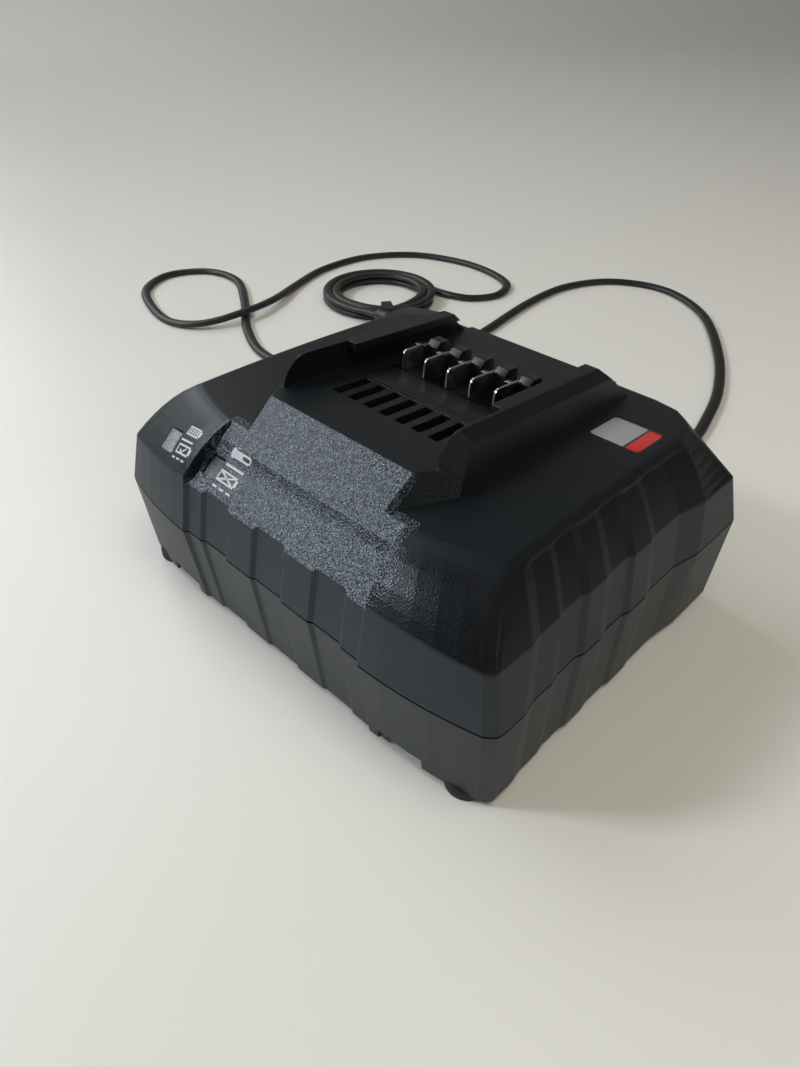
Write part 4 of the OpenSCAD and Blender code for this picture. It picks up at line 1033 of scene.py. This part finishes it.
class CHARGER_OT_fan(bpy.types.Operator):
    """Finishes the fan, its wheel and its duct"""

    bl_idname = "charger.fan"
    bl_label = "Fan"

    def execute(self, context):
        duct = plain_plastic("duct_plastic", (0.02, 0.02, 0.022), 0.5, 0.014 * MM, 0.3 * MM)
        dress(duct.material, ["air_duct", "fan_frame"])
        wheel = plain_plastic("fan_wheel_plastic", (0.025, 0.025, 0.028), 0.38, 0.01 * MM, 0.3 * MM)
        dress(wheel.material, ["fan_rotor"])
        return {"FINISHED"}


# ---- Stage ----

LENS_MM = 26.33
CAMERA_AT = Vector((0.1463, -0.1614, 0.1887))
CAMERA_AZIMUTH = 43.765
CAMERA_ELEVATION = 38.073
CAMERA_ROLL = 0.873


def camera_turn():
    """The camera's axes from its azimuth, elevation and roll."""
    azimuth, elevation, roll = (math.radians(a) for a in (CAMERA_AZIMUTH, CAMERA_ELEVATION, CAMERA_ROLL))
    back = Vector((math.sin(azimuth) * math.cos(elevation), -math.cos(azimuth) * math.cos(elevation),
                   math.sin(elevation)))
    right = Vector((0, 0, 1)).cross(back).normalized()
    up = back.cross(right)
    turned_right = right * math.cos(roll) + up * math.sin(roll)
    turned_up = -right * math.sin(roll) + up * math.cos(roll)
    return Matrix((turned_right, turned_up, back)).transposed()


# Floor's width and depth, height of the wall behind it, and radius of the sweep between them, in metres
FLOOR_W, FLOOR_D = 9, 6
WALL_HEIGHT = 4
SWEEP_R = 1.4

# Name, place, aim, side in metres, watts and colour of each square lamp, and whether gloss shows it
LAMPS = (
    ("key_lamp", (-0.59, -0.66, 0.7), (0, -0.03, 0.06), 0.18, 5.2, (0.84, 0.92, 1.0), True),
    ("side_lamp", (-2.0, -0.1, 1.5), (0, 0.1, 0), 1.8, 25, (0.94, 0.97, 1.0), True),
    ("warm_lamp", (1.5, 0.15, 0.95), (0.2, 0.05, 0), 0.4, 1.8, (1.0, 0.95, 0.82), True),
    ("floor_lamp", (0.5, -0.1, 1.2), (0.4, -0.05, 0), 0.8, 6.4, (1.0, 0.97, 0.86), False),
)

# The air's light: its strength, the way its bright side lies, its dark and bright colour, and the share
# of that way over which it turns from one to the other
AIR_STRENGTH = 0.5
AIR_BRIGHT_WAY = (-0.9, -0.25, 0.1)
AIR_ENDS = ((0.03, 0.035, 0.045, 1), (0.46, 0.52, 0.59, 1))
AIR_RANGE = (-0.6, 0.9)


def add_lamp(name, location, target, side, power, colour, glossy):
    """Adds one square lamp that faces its target."""
    bpy.ops.object.light_add(type="AREA", location=location)
    lamp = bpy.context.object
    lamp.name = name
    lamp.data.name = name
    lamp.data.shape = "SQUARE"
    lamp.data.size = side
    lamp.data.energy = power
    lamp.data.color = colour
    lamp.visible_glossy = glossy
    lamp.rotation_euler = (Vector(target) - Vector(location)).to_track_quat("-Z", "Y").to_euler()
    deselect()


class CHARGER_OT_stage(bpy.types.Operator):
    """Makes the camera, the lamps and the pale floor that sweeps up behind"""

    bl_idname = "charger.stage"
    bl_label = "Stage"

    def execute(self, context):
        scene = context.scene
        scene.view_settings.view_transform = "Standard"
        deselect()
        bpy.ops.object.camera_add()
        camera = context.object
        camera.name = "view_camera"
        camera.data.lens = LENS_MM
        camera.data.sensor_width = 36
        camera.data.clip_start = 0.01
        camera.matrix_world = Matrix.Translation(CAMERA_AT) @ camera_turn().to_4x4()
        scene.camera = camera
        self.floor()
        for lamp in LAMPS:
            add_lamp(*lamp)
        scene.world = self.air()
        return {"FINISHED"}

    def air(self):
        """World light that is brighter from one side."""
        world = bpy.data.worlds.new("studio_air")
        world.use_nodes = True
        tree = world.node_tree
        air = tree.nodes["Background"]
        air.inputs["Strength"].default_value = AIR_STRENGTH
        place = tree.nodes.new("ShaderNodeTexCoord")
        aim = tree.nodes.new("ShaderNodeVectorMath")
        aim.operation = "DOT_PRODUCT"
        aim.inputs[1].default_value = AIR_BRIGHT_WAY
        tree.links.new(place.outputs["Generated"], aim.inputs[0])
        middle = tree.nodes.new("ShaderNodeMapRange")
        for socket, value in zip(("From Min", "From Max"), AIR_RANGE):
            middle.inputs[socket].default_value = value
        tree.links.new(aim.outputs["Value"], middle.inputs["Value"])
        fade = tree.nodes.new("ShaderNodeValToRGB")
        for element, colour in zip(fade.color_ramp.elements, AIR_ENDS):
            element.color = colour
        tree.links.new(middle.outputs["Result"], fade.inputs["Fac"])
        tree.links.new(fade.outputs["Color"], air.inputs["Color"])
        return world

    def floor(self):
        """Pale floor that turns up into a wall behind the charger, square to the camera's azimuth."""
        bpy.ops.mesh.primitive_plane_add(size=1, location=(0, 0, 0))
        floor = bpy.context.object
        floor.name = "studio_sweep"
        turn = math.radians(CAMERA_AZIMUTH)
        floor.scale = (FLOOR_W, FLOOR_D, 1)
        floor.rotation_euler = (0, 0, turn)
        place_in_mesh(floor)
        away = Vector((-math.sin(turn), math.cos(turn), 0))
        for edge in floor.data.edges:
            middle = sum((floor.data.vertices[i].co for i in edge.vertices), Vector()) / 2
            edge.select = middle.dot(away) > FLOOR_D / 4
        for vertex in floor.data.vertices:
            vertex.select = vertex.co.dot(away) > FLOOR_D / 4
        bpy.ops.object.mode_set(mode="EDIT")
        bpy.ops.mesh.select_mode(type="EDGE")
        bpy.ops.mesh.extrude_region_move(TRANSFORM_OT_translate={"value": (0, 0, WALL_HEIGHT)})
        bpy.ops.object.mode_set(mode="OBJECT")
        add_modifier(floor, "Sweep", "BEVEL", width=SWEEP_R, segments=16, limit_method="ANGLE")
        apply_modifiers(floor)
        smooth(floor, 60)
        finish = Finish("sweep_paint", colours().floor, 0.32)
        finish.set("Roughness", finish.spread(finish.noise(0.09, 4), 0.26, 0.42))
        finish.set("Base Color", finish.shades(finish.noise(0.3, 3), colours().floor, 0.97, 1.0))
        cover(floor, finish.material)
        deselect()


class CHARGER_PT_panel(bpy.types.Panel):
    """Lists the charger's operators, sizes and colours"""

    bl_label = "Battery charger"
    bl_idname = "CHARGER_PT_panel"
    bl_space_type = "VIEW_3D"
    bl_region_type = "UI"
    bl_category = "Charger"

    def draw(self, context):
        for operator in OPERATORS:
            self.layout.operator(operator.bl_idname)
        for group in (context.scene.charger_sizes, context.scene.charger_colours):
            for name in group.bl_rna.properties.keys():
                if name not in ("rna_type", "name"):
                    self.layout.prop(group, name)


OPERATORS = (
    CHARGER_OT_stage,
    CHARGER_OT_lead,
    CHARGER_OT_shells,
    CHARGER_OT_contacts,
    CHARGER_OT_windows,
    CHARGER_OT_badge,
    CHARGER_OT_prints,
    CHARGER_OT_electronics,
    CHARGER_OT_fan,
)
CLASSES = (ChargerSizes, ChargerColours, *OPERATORS, CHARGER_PT_panel)


def register():
    for cls in CLASSES:
        bpy.utils.register_class(cls)
    bpy.types.Scene.charger_sizes = PointerProperty(type=ChargerSizes)
    bpy.types.Scene.charger_colours = PointerProperty(type=ChargerColours)


def unregister():
    del bpy.types.Scene.charger_sizes
    del bpy.types.Scene.charger_colours
    for cls in reversed(CLASSES):
        bpy.utils.unregister_class(cls)


def main():
    register()
    deselect()
    bpy.ops.charger.stage()
    bpy.ops.charger.lead()
    bpy.ops.charger.shells()
    bpy.ops.charger.contacts()
    bpy.ops.charger.windows()
    bpy.ops.charger.badge()
    bpy.ops.charger.prints()
    bpy.ops.charger.electronics()
    bpy.ops.charger.fan()


if __name__ == "__main__":
    main()
